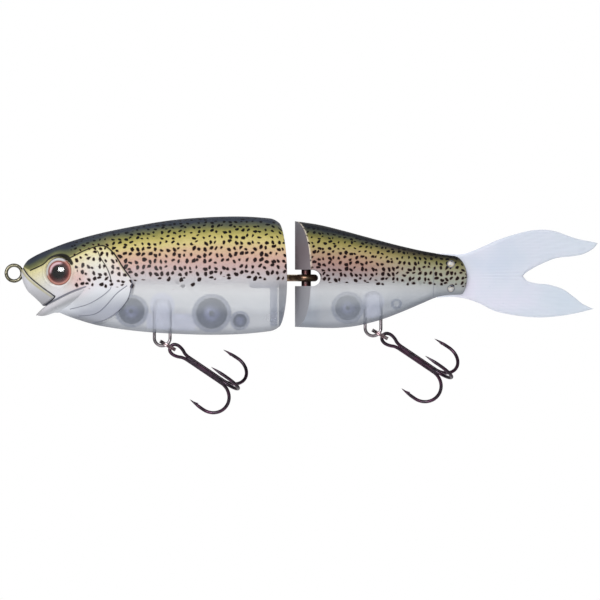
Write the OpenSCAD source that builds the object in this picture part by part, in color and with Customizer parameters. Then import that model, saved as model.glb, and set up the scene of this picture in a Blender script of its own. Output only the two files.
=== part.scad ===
// Two-section jointed swimbait: a hollow front body with the head, a hollow rear body that yaws on a
// vertical pin, a replaceable soft tail, and two treble hooks on split rings.
// Millimetres. The origin is the centre of the line eye's hole, the tail points along +X and the back
// along +Z.

/* [Body shells] */
// Widest point of the body, side to side
body_width = 24; // [23:0.5:25]
// Wall of the hollow shells
wall = 1.5; // [1.3:0.1:1.6]
// Slope of the rear body's two front faces, from square across, degrees
wedge_angle = 25; // [22:1:27]
// Slope of the shallow V in the back of the front body, degrees
recess_angle = 13; // [10:1:14]
// Height of the slot that lets the joint eye swing
hinge_slot = 5.1; // [4.6:0.1:5.6]
// Room around everything that is clamped between the shells
seat_gap = 0.08; // [0.05:0.01:0.12]

/* [Wire hardware] */
// Wire of the line eye
line_wire = 1.1; // [1:0.05:1.2]
// Hole in the line eye
line_hole = 3.8; // [3.6:0.1:4]
// Wire of the hook hangers
hanger_wire = 1; // [0.9:0.05:1.1]
// Outside width of a hook hanger
hanger_width = 5.9; // [5.7:0.1:6.1]
// Thickness of the joint eye
joint_thick = 2.2; // [2:0.1:2.4]
// Outside diameter of the joint eye
joint_width = 7.4; // [7:0.1:7.6]
// Hinge pin
pin_diameter = 3; // [2.6:0.1:3]
// Room around the hinge pin in the joint eye, on the radius
pin_play = 0.08; // [0.04:0.01:0.1]

/* [Hooks] */
// Hook wire
hook_wire = 1.07; // [1:0.01:1.1]
// Treble hook, from the end of its eye to the bottom of its bends
hook_length = 25.8; // [24:0.1:27]
// Inside of a bend, from shank to point
hook_gape = 9.6; // [9:0.1:9.8]
// Length of the leg that carries the point, from the centre of the bend
point_leg = 5.3; // [4.5:0.1:6]
// Split ring, outside
ring_diameter = 5.7; // [5.5:0.1:5.9]
// Split ring wire, along the radius
ring_wire = 0.65; // [0.55:0.05:0.65]
// Split ring, two coils together, along its axis
ring_height = 1.1; // [0.9:0.05:1.1]

/* [Eyes and tail] */
// Glued-in eye
eye_diameter = 8.6; // [8.2:0.1:8.8]
// Depth of the eye socket
eye_depth = 2.2; // [2:0.1:2.4]
// Soft tail, at its root
tail_thick = 1.6; // [1.4:0.1:1.7]
// Pins that hold the tail in its slot
tail_pin_diameter = 1.4; // [1.2:0.1:1.5]

/* [Hidden] */
LEFT = -1;
RIGHT = 1;
$fn = 48;

// Outline of the front body, [x, z] pairs, and its half width, [x, y]
nose_x = 2.3;
nose_round = 2.4;
front_end = 86;
back_round_from = 79.5;
back_round = 9;
front_top = [[2.3, 2.7], [6.2, 5.2], [10, 7], [17.4, 9.8], [26.8, 12.4], [38, 14.7], [49.2, 16.5],
    [60.4, 17.4], [71.6, 17.6], [80.9, 16.9], [86, 16]];
front_belly = [[2.3, -3.9], [6.2, -7.4], [9.3, -10.1], [13.7, -12.1], [19.3, -14.3], [26.8, -16.4],
    [39.8, -18.2], [52.9, -19], [62.2, -19.2], [71.6, -18.9], [80.9, -17.9], [86, -16.9]];
front_mid = [[2.3, 0], [20, -1.5], [50, -2], [86, -1.5]];
front_half = [[2.3, 0.32], [6, 0.5], [10, 0.63], [16, 0.775], [26, 0.92], [45, 1], [62, 1], [75, 0.96],
    [86, 0.91]];

// Outline of the rear body
rear_start = 86.5;
rear_end = 140.9;
tail_round = 4;
rear_top = [[86.5, 16.3], [94.6, 15.1], [102.1, 13.3], [109.5, 11.3], [118.9, 8.8], [128.2, 6.7],
    [135.7, 5.6], [140.9, 5.1]];
rear_belly = [[86.5, -16.7], [98.3, -17.1], [103.9, -16.8], [107.7, -16.2], [113.9, -14.6], [120.4, -12.2],
    [127, -9.4], [131.3, -7.6], [135, -6.95], [140.9, -6.8]];
rear_mid = [[86.5, -1.5], [110, -1.4], [140.9, -1.2]];
rear_half = [[86.5, 0.91], [95, 0.85], [105, 0.71], [115, 0.55], [125, 0.41], [132, 0.33], [140.9, 0.27]];

section_power = 0.91;
end_cut = 0.04;

// Anything that has to pass right through or round the whole body reaches this far
far = 40;

// The joint between the bodies
ridge_x = 87.4;
recess_x = 82.4;
pin_x = 90.9;
joint_z = -1.5;
pin_low = -12;
pin_high = 9.5;
slot_end = 95.4;
shank_end = 75.5;
anchor_bar = 6;
joint_bevel = 0.5;
// How far the shank runs into the ring, and its share of the ring's thickness
shank_lap = 1;
shank_share = 0.98;

// Seats inside the shells
cavity_front = 12;
cavity_back = 79.6;
rear_cavity_front = 97;
rear_cavity_back = 130;
line_anchor_x = 7.7;
line_anchor_hole = 3;
line_bevel = [0.25, 0.3];
neck_share = 0.94;
front_hanger = [46.1, -20.2];
front_hanger_top = -10.6;
rear_hanger = [111.7, -17.1];
rear_hanger_top = -8.6;
// Height of the open mouth of a hanger's slot, above the round end of the link
link_sill = 1.4;
fore_ball = [36.6, -11.8, 4.1];
main_ball = [61.5, -12.5, 4.85];
trim_ball = [70.3, -14.8, 2.2];
rear_ball = [103.8, -10.8, 3.95];
cradle_wall = 1.2;
post_r = 0.8;
post_reach = 6;
boss_wall = 1.2;
// Inner parts run out to here before the skin trims them
inner_reach = 14;
joint_block = [10, 9.2, 6.6];
joint_block_back = 3;
// Extra skin round the eyes and nose, and the stretch where it fades out
head_skin = 2.7;
head_skin_end = 17;
head_skin_fade = 9;
peg_x = [30, 56];
peg_z = 8.5;
peg_r = 0.9;
peg_reach = 2.4;
rear_peg = [119, -9.6];

// Grooves of the head, [x, z] keys: lip, gill cover, cheek plate and the fold under it
head_lines = [
    [[2.9, 1.3], [5.4, -1.4], [9.1, -4.4], [12.5, -6.8], [12.8, -7.6], [9.8, -10.1]],
    [[18.6, 5], [23, 7.2], [28, 8.4], [31.4, 6.1], [36.4, -1.7], [35.4, -5.1], [32.7, -11.8], [25.3, -14.9]],
    [[26.3, 7.1], [29.7, 0.3], [30.7, -5.1], [28.7, -7.7], [20.6, -10.9]],
    [[33.8, -5.4], [32, -7.1], [28.7, -11.2], [25.3, -12.5], [20.6, -12.7]]
];
groove_width = 0.5;
groove_depth = 0.35;

// Lower jaw: its outline from the side, and the half ellipse that it follows from above
jaw_outline = [[6.9, -12.9], [9.6, -10.6], [13, -8.8], [17.4, -6.6], [20.4, -5.4], [23.4, -4.4],
    [19.9, -7.9], [17.1, -10.3], [13.4, -12.3], [9.9, -13.2], [7.2, -13.3]];
jaw_back = 24.5;
jaw_long = 17.6;
jaw_half = 9.9;

// Eyes
eye_x = 14.2;
eye_z = 0.4;
eye_turn = 16;
lens_proud = 0.9;
iris_thick = 0.4;
iris_play = 0.1;
lens_rim = 0.5;
eye_sink = 0.15;
eye_margin = 8;

// Tail fin outline, clockwise from the front of its root
root_front = 131.5;
root_back = 141.6;
fin_front = 142.2;
tail_pin_x = 135.8;
tail_pin_z = [2.8, -4.9];
tail_pin_half = 2.75;
tail_slot_play = 0.05;
tail_slot_front = 0.3;
fin_share = 0.8;
root_outline = [[root_front, 6.2], [135.7, 6], [root_back, 6.4], [root_back, -8.1], [136, -7.4],
    [root_front, -7.6]];
fin_keys = [[fin_front, 6.7], [149.9, 10.2], [155.5, 12], [161.9, 13.4], [167.7, 13.3], [174.9, 10.9],
    [179.9, 9.8], [181.6, 9.3], [180.2, 7.6], [177.1, 5.9], [173.5, 5.2], [168.8, 4.8], [163.8, 2.7],
    [159.6, 0.3], [158.4, -0.9], [159.8, -2.4], [166.6, -3.6], [170.8, -5], [176.3, -9.1],
    [180.3, -11.1], [174.9, -12.4], [169.4, -13.4], [163.3, -13.7], [156.9, -13.2], [149.9, -11.7],
    [144.4, -9.1], [fin_front, -8.4]];

// Hooks and rings, angles in degrees below the horizontal, towards the tail
front_hang_angle = 58;
rear_hang_angle = 45;
ring_angle = 30;
hook_angle = 34;
hook_turn = 79;
ring_reach = 0.5;
ring_bevel = 0.1;
hook_eye_hole = 2.1;
point_taper = 3.4;
point_tip = 0.04;

hanger_radius = (hanger_width - hanger_wire) / 2;
ring_radius = (ring_diameter - ring_wire) / 2;
hook_eye_radius = (hook_eye_hole + hook_wire) / 2;
// Half the distance between shanks that lie side by side, with a hair of room
wire_offset = 0.61 * hook_wire;
bend_radius = (hook_gape + hook_wire) / 2;
bend_centre = hook_length - hook_eye_radius - hook_wire - bend_radius;
slot_low = joint_z - hinge_slot / 2;
pin_hole = pin_diameter / 2 + pin_play;

// Smooth curve through hand-picked [x, value] keys
function segment(keys, x, i = 0) =
    i >= len(keys) - 2 || x < keys[i + 1][0] ? i : segment(keys, x, i + 1);
function slope(keys, i) =
    let(a = max(i - 1, 0), b = min(i + 1, len(keys) - 1))
    (keys[b][1] - keys[a][1]) / (keys[b][0] - keys[a][0]);
function curve(keys, x) =
    let(i = segment(keys, x), h = keys[i + 1][0] - keys[i][0], t = (x - keys[i][0]) / h)
    (2 * t ^ 3 - 3 * t ^ 2 + 1) * keys[i][1] + (t ^ 3 - 2 * t ^ 2 + t) * h * slope(keys, i)
    + (3 * t ^ 2 - 2 * t ^ 3) * keys[i + 1][1] + (t ^ 3 - t ^ 2) * h * slope(keys, i + 1);

// Point at t on the smooth line from key i to the next, where keys are [x, z] pairs
function arc_point(keys, i, t) =
    let(a = keys[max(i - 1, 0)], b = keys[i], c = keys[i + 1], d = keys[min(i + 2, len(keys) - 1)])
    0.5 * (2 * b + (c - a) * t + (2 * a - 5 * b + 4 * c - d) * t ^ 2 + (3 * b - a - 3 * c + d) * t ^ 3);

// Roundness of an end: 0 at the tip and 1 once inside by the radius
function round_in(distance, radius) = sqrt(max(0, 1 - (1 - min(distance / radius, 1)) ^ 2));

// One ring of a body section: counter-clockwise round the X axis, inset by t at the back and belly and by
// side at the sides
function section_ring(x, top, belly, mid, half, ends, t, side, sides) =
    let(m = curve(mid, x),
        up = (curve(top, x) - m) * ends[0] - t,
        down = (m - curve(belly, x)) * ends[1] - t,
        w = curve(half, x) * body_width / 2 * ends[2] - side)
    [for (k = [0:sides - 1])
        let(a = 360 * k / sides, c = cos(a), s = sin(a), reach = s > 0 ? up : down)
        [x, w * sign(c) * abs(c) ^ section_power, m + reach * sign(s) * abs(s) ^ section_power]];

// A closed skin over rings that all have the same number of points
module skin(rings) {
    n = len(rings[0]);
    last = (len(rings) - 1) * n;
    polyhedron(
        [for (r = rings) each r],
        concat(
            [[for (k = [0:n - 1]) k]],
            [for (i = [0:len(rings) - 2]) for (k = [0:n - 1]) let(a = i * n + k, b = i * n + (k + 1) % n)
                each [[a, a + n, b + n], [a, b + n, b]]],
            [[for (k = [n - 1:-1:0]) last + k]]
        )
    );
}

// Keeps a free-form shell as one faceted surface
module one_surface() resize([0, 0, 0]) children();

module half_space(side)
    translate([-far, side < 0 ? -far : 0, -far]) cube([rear_end + 2 * far, far, 2 * far]);
module across(x, z, r, half_length, side = 0)
    translate([x, side * half_length, z]) rotate([90, 0, 0])
        cylinder(h = 2 * half_length, r = r, center = true);

function front_ends(x) =
    let(nose = round_in(x - nose_x, nose_round),
        back = sqrt(1 - (max(x - back_round_from, 0) / back_round) ^ 2))
    [nose * back, nose * back, nose];
function rear_ends(x) =
    let(upper = round_in(rear_end - x, tail_round), lower = round_in(rear_end - x, tail_round / 2))
    [upper, lower, 0.6 + 0.4 * upper];
function head_wall(x) = wall + head_skin * (1 - min(max((x - head_skin_end) / head_skin_fade, 0), 1));

module front_outside() {
    stations = concat(
        [for (i = [1:6]) nose_x + nose_round * (1 - cos(90 * i / 6)) + end_cut],
        [for (i = [1:26]) nose_x + nose_round + (front_end - nose_x - nose_round) * i / 26]
    );
    skin([for (x = stations)
        section_ring(x, front_top, front_belly, front_mid, front_half, front_ends(x), 0, 0, 36)]);
}

module front_hollow() {
    steps = 18;
    skin([for (i = [0:steps]) let(x = cavity_front + (cavity_back - cavity_front) * i / steps)
        section_ring(x, front_top, front_belly, front_mid, front_half, [1, 1, 1], wall, head_wall(x), 28)]);
}

module rear_outside() {
    straight = rear_end - tail_round;
    stations = concat(
        [for (i = [0:16]) rear_start + (straight - rear_start) * i / 16],
        [for (i = [1:6]) straight + tail_round * sin(90 * i / 6) - (i == 6 ? end_cut : 0)]
    );
    skin([for (x = stations)
        section_ring(x, rear_top, rear_belly, rear_mid, rear_half, rear_ends(x), 0, 0, 32)]);
}

module rear_hollow() {
    steps = 10;
    skin([for (i = [0:steps]) let(x = rear_cavity_front + (rear_cavity_back - rear_cavity_front) * i / steps)
        section_ring(x, rear_top, rear_belly, rear_mid, rear_half, [1, 1, 1], wall, wall, 24)]);
}

module front_inset() {
    skin([for (x = [3:1.7:42])
        section_ring(x, front_top, front_belly, front_mid, front_half, front_ends(x), groove_depth,
            groove_depth, 36)]);
}

// A groove that follows keys along both sides of the head
module groove(keys) {
    points = [for (i = [0:len(keys) - 2]) for (t = [0, 0.5]) arc_point(keys, i, t), keys[len(keys) - 1]];
    difference() {
        rotate([90, 0, 0]) linear_extrude(far, center = true)
            for (i = [0:len(points) - 2]) let(d = points[i + 1] - points[i])
                translate(points[i]) rotate(atan2(d[1], d[0])) translate([0, -groove_width / 2])
                    square([norm(d) + groove_width / 4, groove_width]);
        front_inset();
    }
}

// Lower jaw: a shallow U-shaped lip that stands proud of the throat
module jaw() {
    intersection() {
        rotate([90, 0, 0]) linear_extrude(far, center = true) polygon(jaw_outline);
        translate([0, 0, -far]) linear_extrude(far)
            polygon([for (a = [-90:10:90])
                [jaw_back - jaw_long * cos(a), jaw_half * sign(a) * abs(sin(a)) ^ section_power]]);
    }
}

module eye_place(side) translate([eye_x, side * eye_surface(), eye_z])
    rotate([0, 0, side * eye_turn]) rotate([side * -90, 0, 0]) children();
function eye_surface() = curve(front_half, eye_x) * body_width / 2 - eye_sink;

// A hook hanger: one long closed link, upright, its lower end outside the belly
module link_shape(at, top, wire, width) {
    r = (width - wire) / 2;
    for (end = [0, 1])
        translate([at[0], 0, end == 0 ? at[1] : top]) rotate([90, end * 180, 0])
            rotate_extrude(angle = -180) translate([r, 0]) circle(d = wire, $fn = 24);
    for (s = [-1, 1])
        translate([at[0] + s * r, 0, at[1]]) cylinder(h = top - at[1], d = wire, $fn = 24);
}

// Its seat in the shells: a slot with a post that the link hangs on
module link_seat(at, top, wire, width) {
    out = width / 2 + seat_gap;
    in = width / 2 - wire - seat_gap;
    half = wire / 2 + seat_gap;
    difference() {
        union() {
            across(at[0], top, out, half);
            across(at[0], at[1], out, half);
            translate([at[0] - out, -half, at[1]]) cube([2 * out, 2 * half, top - at[1]]);
        }
        across(at[0], top, in, 2 * half);
        translate([at[0] - in, -2 * half, at[1] + in + link_sill])
            cube([2 * in, 4 * half, top - at[1] - in - link_sill]);
    }
}

module cradle(ball) {
    difference() {
        across(ball[0], ball[1], ball[2] + cradle_wall, inner_reach);
        across(ball[0], ball[1], ball[2] + seat_gap, inner_reach + 1);
    }
}

// Locating posts that touch a ball from each side
module ball_posts(ball)
    for (s = [-1, 1])
        across(ball[0], ball[1], post_r, post_reach, s * (1 + (ball[2] + seat_gap) / post_reach));

module hanger_boss(at, top, width) {
    out = width / 2 + boss_wall;
    across(at[0], top, out, inner_reach);
    translate([at[0] - out, -inner_reach, at[1]]) cube([2 * out, 2 * inner_reach, top - at[1]]);
}

function wedge_x(y, from, angle) = from + y * tan(angle);

module front_shell(side) intersection() {
    half_space(side);
    difference() {
        union() {
            difference() {
                union() {
                    front_outside();
                    jaw();
                }
                front_hollow();
            }
            intersection() {
                front_outside();
                union() {
                    hanger_boss(front_hanger, front_hanger_top, hanger_width);
                    for (b = [fore_ball, main_ball, trim_ball]) cradle(b);
                    for (b = [fore_ball, main_ball]) ball_posts(b);
                    translate([shank_end - joint_block_back + joint_block[0] / 2, 0, joint_z])
                        cube(joint_block, center = true);
                    for (x = peg_x) across(x, peg_z, 2 * peg_r, inner_reach);
                }
            }
        }
        // Shallow V in the back
        translate([0, 0, -far]) linear_extrude(2 * far)
            polygon([[recess_x, 0], [wedge_x(far, recess_x, recess_angle), far], [rear_end, far],
                [rear_end, -far], [wedge_x(far, recess_x, recess_angle), -far]]);
        // Line eye and its anchor
        across(0, 0, line_hole / 2 + line_wire + seat_gap, line_wire / 2 + seat_gap);
        difference() {
            across(line_anchor_x, 0, line_anchor_hole / 2 + line_wire + seat_gap, line_wire / 2 + seat_gap);
            across(line_anchor_x, 0, line_anchor_hole / 2 - seat_gap, 2 * line_wire);
        }
        translate([0, -line_wire / 2 - seat_gap, -line_wire / 2 - seat_gap])
            cube([line_anchor_x - line_anchor_hole / 2, line_wire + 2 * seat_gap, line_wire + 2 * seat_gap]);
        // Joint eye's shank and its cross bar
        translate([shank_end, 0, joint_z]) rotate([0, 90, 0])
            cylinder(h = pin_x - shank_end, r = joint_thick / 2 + seat_gap, $fn = 24);
        across(shank_end, joint_z, joint_thick / 2 + seat_gap, anchor_bar / 2 + seat_gap);
        link_seat(front_hanger, front_hanger_top, hanger_wire, hanger_width);
        eye_place(side) translate([0, 0, -eye_depth - seat_gap])
            cylinder(h = eye_margin, d = eye_diameter + 2 * seat_gap, $fn = 40);
        for (line = head_lines) groove(line);
        if (side == RIGHT) for (x = peg_x) across(x, peg_z, peg_r + seat_gap, peg_reach + seat_gap);
    }
}

module rear_shell(side) intersection() {
    half_space(side);
    difference() {
        union() {
            difference() {
                rear_outside();
                rear_hollow();
            }
            intersection() {
                rear_outside();
                union() {
                    hanger_boss(rear_hanger, rear_hanger_top, hanger_width);
                    cradle(rear_ball);
                    ball_posts(rear_ball);
                    across(rear_peg[0], rear_peg[1], 2 * peg_r, inner_reach);
                }
            }
        }
        // The two front faces
        for (s = [-1, 1])
            translate([0, 0, -far]) linear_extrude(2 * far)
                polygon([[ridge_x, 0], [wedge_x(far, ridge_x, wedge_angle), s * far], [recess_x, s * far],
                    [recess_x, 0]]);
        // Slot for the joint eye, right across the body
        translate([recess_x, -far, slot_low])
            cube([slot_end - hinge_slot / 2 - recess_x, 2 * far, hinge_slot]);
        across(slot_end - hinge_slot / 2, joint_z, hinge_slot / 2, far);
        translate([pin_x, 0, pin_low - seat_gap])
            cylinder(h = pin_high - pin_low + 2 * seat_gap, r = pin_diameter / 2 + seat_gap, $fn = 32);
        link_seat(rear_hanger, rear_hanger_top, hanger_wire, hanger_width);
        // Slot and pin holes for the tail
        translate([root_front - tail_slot_front, -tail_thick / 2 - tail_slot_play, -far])
            cube([far, tail_thick + 2 * tail_slot_play, 2 * far]);
        for (z = tail_pin_z) across(tail_pin_x, z, tail_pin_diameter / 2 + seat_gap, inner_reach);
        if (side == RIGHT) across(rear_peg[0], rear_peg[1], peg_r + seat_gap, peg_reach + seat_gap);
    }
}

// The left halves carry the locating pegs
module peg(x, z) translate([x, peg_reach, z]) rotate([90, 0, 0]) cylinder(h = peg_reach + 1, r = peg_r);

module front_shell_left() color([0.62, 0.64, 0.52]) one_surface() {
    front_shell(LEFT);
    for (x = peg_x) peg(x, peg_z);
}
module front_shell_right() color([0.62, 0.64, 0.52]) one_surface() front_shell(RIGHT);
module rear_shell_left() color([0.6, 0.6, 0.5]) one_surface() {
    rear_shell(LEFT);
    peg(rear_peg[0], rear_peg[1]);
}
module rear_shell_right() color([0.6, 0.6, 0.5]) one_surface() rear_shell(RIGHT);

// A bar's section, a by b, with its inner corners bevelled by one amount and its outer ones by another
module bevelled(a, b, inner, outer)
    polygon([[0, inner], [inner, 0], [a - outer, 0], [a, outer], [a, b - outer], [a - outer, b], [inner, b],
        [0, b - inner]]);

// Line eye: an outer ring, a neck and an inner ring round a post in the head
module line_eye() color([0.45, 0.44, 0.4]) {
    for (e = [[0, line_hole / 2], [line_anchor_x, line_anchor_hole / 2]])
        translate([e[0], 0, 0]) rotate([90, 0, 0]) rotate_extrude()
            translate([e[1], -line_wire / 2]) bevelled(line_wire, line_wire, line_bevel[0], line_bevel[1]);
    neck = line_anchor_x - line_hole / 2 - line_anchor_hole / 2 - line_wire;
    translate([line_hole / 2 + line_wire / 2, 0, 0]) rotate([0, 90, 0])
        cylinder(h = neck, d = line_wire * neck_share, $fn = 24);
}

// Joint eye: a thick ring round the hinge pin, a shank and a cross bar locked in the front body
module joint_eye() color([0.47, 0.42, 0.36]) {
    translate([pin_x, 0, joint_z - joint_thick / 2]) rotate_extrude()
        translate([pin_hole, 0])
            bevelled(joint_width / 2 - pin_hole, joint_thick, joint_bevel / 2, joint_bevel);
    translate([shank_end, 0, joint_z]) rotate([0, 90, 0])
        cylinder(h = pin_x - pin_hole - shank_lap - shank_end, d = joint_thick * shank_share, $fn = 32);
    across(shank_end, joint_z, joint_thick / 2, anchor_bar / 2);
}

module hinge_pin() color([0.32, 0.25, 0.24])
    translate([pin_x, 0, pin_low]) cylinder(h = pin_high - pin_low, d = pin_diameter);

module front_hook_hanger() color([0.4, 0.37, 0.37])
    link_shape(front_hanger, front_hanger_top, hanger_wire, hanger_width);
module rear_hook_hanger() color([0.4, 0.37, 0.37])
    link_shape(rear_hanger, rear_hanger_top, hanger_wire, hanger_width);

module iris(side) color([0.45, 0.13, 0.1])
    eye_place(side) translate([0, 0, -eye_depth]) cylinder(h = iris_thick, d = eye_diameter - iris_play);

// Clear domed lens over the iris
module eye_lens(side) color([0.9, 0.9, 0.92, 0.5]) {
    base = iris_thick - eye_depth;
    rise = lens_proud + lens_rim;
    dome = (eye_diameter ^ 2 / 4 + rise ^ 2) / (2 * rise);
    eye_place(side) intersection() {
        translate([0, 0, base]) cylinder(h = lens_proud - base, d = eye_diameter);
        translate([0, 0, lens_proud - dome]) sphere(r = dome);
    }
}

module iris_left() {
    iris(LEFT);
}
module iris_right() {
    iris(RIGHT);
}
module eye_lens_left() {
    eye_lens(LEFT);
}
module eye_lens_right() {
    eye_lens(RIGHT);
}

module ball(at) color([0.42, 0.45, 0.52]) translate([at[0], 0, at[1]]) sphere(r = at[2]);
module ballast_fore() {
    ball(fore_ball);
}
module ballast_main() {
    ball(main_ball);
}
module ballast_trim() {
    ball(trim_ball);
}
module ballast_rear() {
    ball(rear_ball);
}

// Tail pins: flush with the rear body's sides
module tail_pin(z) color([0.78, 0.79, 0.8]) across(tail_pin_x, z, tail_pin_diameter / 2, tail_pin_half);
module tail_pin_upper() {
    tail_pin(tail_pin_z[0]);
}
module tail_pin_lower() {
    tail_pin(tail_pin_z[1]);
}

module tail_root() color([0.86, 0.88, 0.92]) difference() {
    rotate([90, 0, 0]) linear_extrude(tail_thick, center = true) polygon(root_outline);
    for (z = tail_pin_z) across(tail_pin_x, z, tail_pin_diameter / 2 + seat_gap, tail_thick);
}

module tail_fin() color([0.86, 0.88, 0.92])
    rotate([90, 0, 0]) linear_extrude(tail_thick * fin_share, center = true)
        polygon([fin_keys[0],
            for (i = [0:len(fin_keys) - 2]) for (t = [0.5, 1]) arc_point(fin_keys, i, t)]);

// Unit vector that points down and towards the tail
function along(angle) = [cos(angle), 0, -sin(angle)];
// Middle of a split ring, and the spot on its far side that carries the hook
function ring_centre(at, hang) =
    [at[0], 0, at[1]] + hanger_radius * along(hang) + ring_reach * along(ring_angle);
function ring_far(at, hang) = ring_centre(at, hang) + ring_radius * along(ring_angle);

// Split ring: two coils pressed together, its plane across the link
module split_ring(at, hang) color([0.42, 0.38, 0.38])
    translate(ring_centre(at, hang)) rotate([0, ring_angle, 0])
        rotate_extrude() translate([ring_radius - ring_wire / 2, -ring_height / 2])
            bevelled(ring_wire, ring_height, ring_bevel, ring_bevel);

// One hook of the treble: shank, bend and point, X along the shank and Z towards the point
module hook_wire_shape(start, offset) {
    r = hook_wire / 2;
    translate([start, 0, offset]) rotate([0, 90, 0]) cylinder(h = bend_centre - start, r = r);
    translate([bend_centre, 0, offset + bend_radius]) rotate([90, 90, 0])
        rotate_extrude(angle = 180) translate([bend_radius, 0]) circle(r = r);
    translate([bend_centre - point_leg, 0, offset + 2 * bend_radius]) rotate([0, 90, 0]) {
        cylinder(h = point_taper, r1 = point_tip, r2 = r);
        translate([0, 0, point_taper]) cylinder(h = point_leg - point_taper, r = r);
    }
}

// Frame of a treble: centre of its eye, X down the shank, Z up and back
module hook_place(at, hang) translate(ring_far(at, hang)) rotate([0, hook_angle, 0]) children();

module double_hook(at, hang, turn) color([0.3, 0.27, 0.29]) hook_place(at, hang) {
    rotate([90, 0, 0]) rotate_extrude() translate([hook_eye_radius, 0]) circle(d = hook_wire);
    for (a = [-120, 120])
        rotate([turn + a, 0, 0]) hook_wire_shape(hook_eye_radius - hook_wire / 2, wire_offset);
}

// The third hook, brazed along the pair
module single_hook(at, hang, turn) color([0.3, 0.27, 0.29]) hook_place(at, hang)
    rotate([turn, 0, 0]) hook_wire_shape(2 * hook_eye_radius, wire_offset);

module front_split_ring() {
    split_ring(front_hanger, front_hang_angle);
}
module rear_split_ring() {
    split_ring(rear_hanger, rear_hang_angle);
}
module front_double_hook() {
    double_hook(front_hanger, front_hang_angle, hook_turn);
}
module front_single_hook() {
    single_hook(front_hanger, front_hang_angle, hook_turn);
}
module rear_double_hook() {
    double_hook(rear_hanger, rear_hang_angle, hook_turn);
}
module rear_single_hook() {
    single_hook(rear_hanger, rear_hang_angle, hook_turn);
}

front_shell_left();
front_shell_right();
line_eye();
joint_eye();
front_hook_hanger();
iris_left();
iris_right();
eye_lens_left();
eye_lens_right();
ballast_fore();
ballast_main();
ballast_trim();
rear_shell_left();
rear_shell_right();
hinge_pin();
rear_hook_hanger();
ballast_rear();
tail_pin_upper();
tail_pin_lower();
tail_root();
tail_fin();
front_split_ring();
front_double_hook();
front_single_hook();
rear_split_ring();
rear_double_hook();
rear_single_hook();
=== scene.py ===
"""Looks of the two-section jointed swimbait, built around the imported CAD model.

Lengths are worked in millimetres and become metres when a mesh is made. The lure points along -X, its back is
+Z, and the side that the camera sees is -Y.
"""

import math

import bmesh
import bpy
import numpy as np
from mathutils import Matrix, Vector


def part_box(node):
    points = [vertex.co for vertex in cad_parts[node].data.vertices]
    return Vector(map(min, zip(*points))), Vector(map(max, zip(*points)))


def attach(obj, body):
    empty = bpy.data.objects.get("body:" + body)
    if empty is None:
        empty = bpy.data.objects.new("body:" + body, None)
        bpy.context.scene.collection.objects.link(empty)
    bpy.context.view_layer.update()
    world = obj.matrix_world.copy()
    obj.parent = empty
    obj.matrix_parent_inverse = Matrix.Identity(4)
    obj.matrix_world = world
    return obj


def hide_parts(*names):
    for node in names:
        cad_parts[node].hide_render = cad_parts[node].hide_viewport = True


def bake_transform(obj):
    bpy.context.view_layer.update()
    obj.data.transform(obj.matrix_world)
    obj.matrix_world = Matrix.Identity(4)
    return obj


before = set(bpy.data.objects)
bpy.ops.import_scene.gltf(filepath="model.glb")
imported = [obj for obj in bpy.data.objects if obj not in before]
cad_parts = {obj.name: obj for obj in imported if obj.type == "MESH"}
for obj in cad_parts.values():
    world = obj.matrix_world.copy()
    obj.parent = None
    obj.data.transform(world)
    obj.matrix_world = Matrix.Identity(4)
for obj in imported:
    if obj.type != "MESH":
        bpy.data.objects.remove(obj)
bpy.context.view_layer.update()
MM = 0.001
SIDES = ((-1, "left"), (1, "right"))

# ---------------- driving sizes, in mm unless said otherwise
SPOT_CELL = 0.0019  # metres between black spots
SIDE_SHIFT = 60.0  # keeps the two sides' spots from mirroring each other
BODY_HALF, POWER, WALL = 12.0, 0.91, 1.1  # half width, roundness of the sections, thickness of the shells
NOSE_X, NOSE_ROUND = 2.3, 2.4
RIDGE_X, WEDGE_TAN = 87.4, math.tan(math.radians(25))
RECESS_X, RECESS_TAN = 82.4, math.tan(math.radians(13))
REAR_END, TAIL_ROUND = 140.9, 4.0
PIN_X, JOINT_Z, SLOT_HEIGHT, SLOT_END = 90.9, -1.5, 5.1, 95.4
ROOT_FRONT, ROOT_HALF = 131.5, 0.86
TAIL_PINS = [(135.8, 2.8), (135.8, -4.9)]
EYE_X, EYE_Z, EYE_TURN, EYE_R, EYE_DEPTH, LENS_PROUD = 14.2, 0.4, 16.0, 4.3, 2.2, 0.9
FOIL_DEPTH, FOIL_RISE = 0.85, 0.7
GILL_FRONT, GILL_BACK = 18.6, 38.0
LIP_BACK = 13.2
LOW_SPOTS_Z = -5.2  # the few spots over the belly stay above this
THINNEST = 0.05  # least thickness of a piece inside the shells
SEAM = 0.16  # width of the line where the half shells meet

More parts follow.
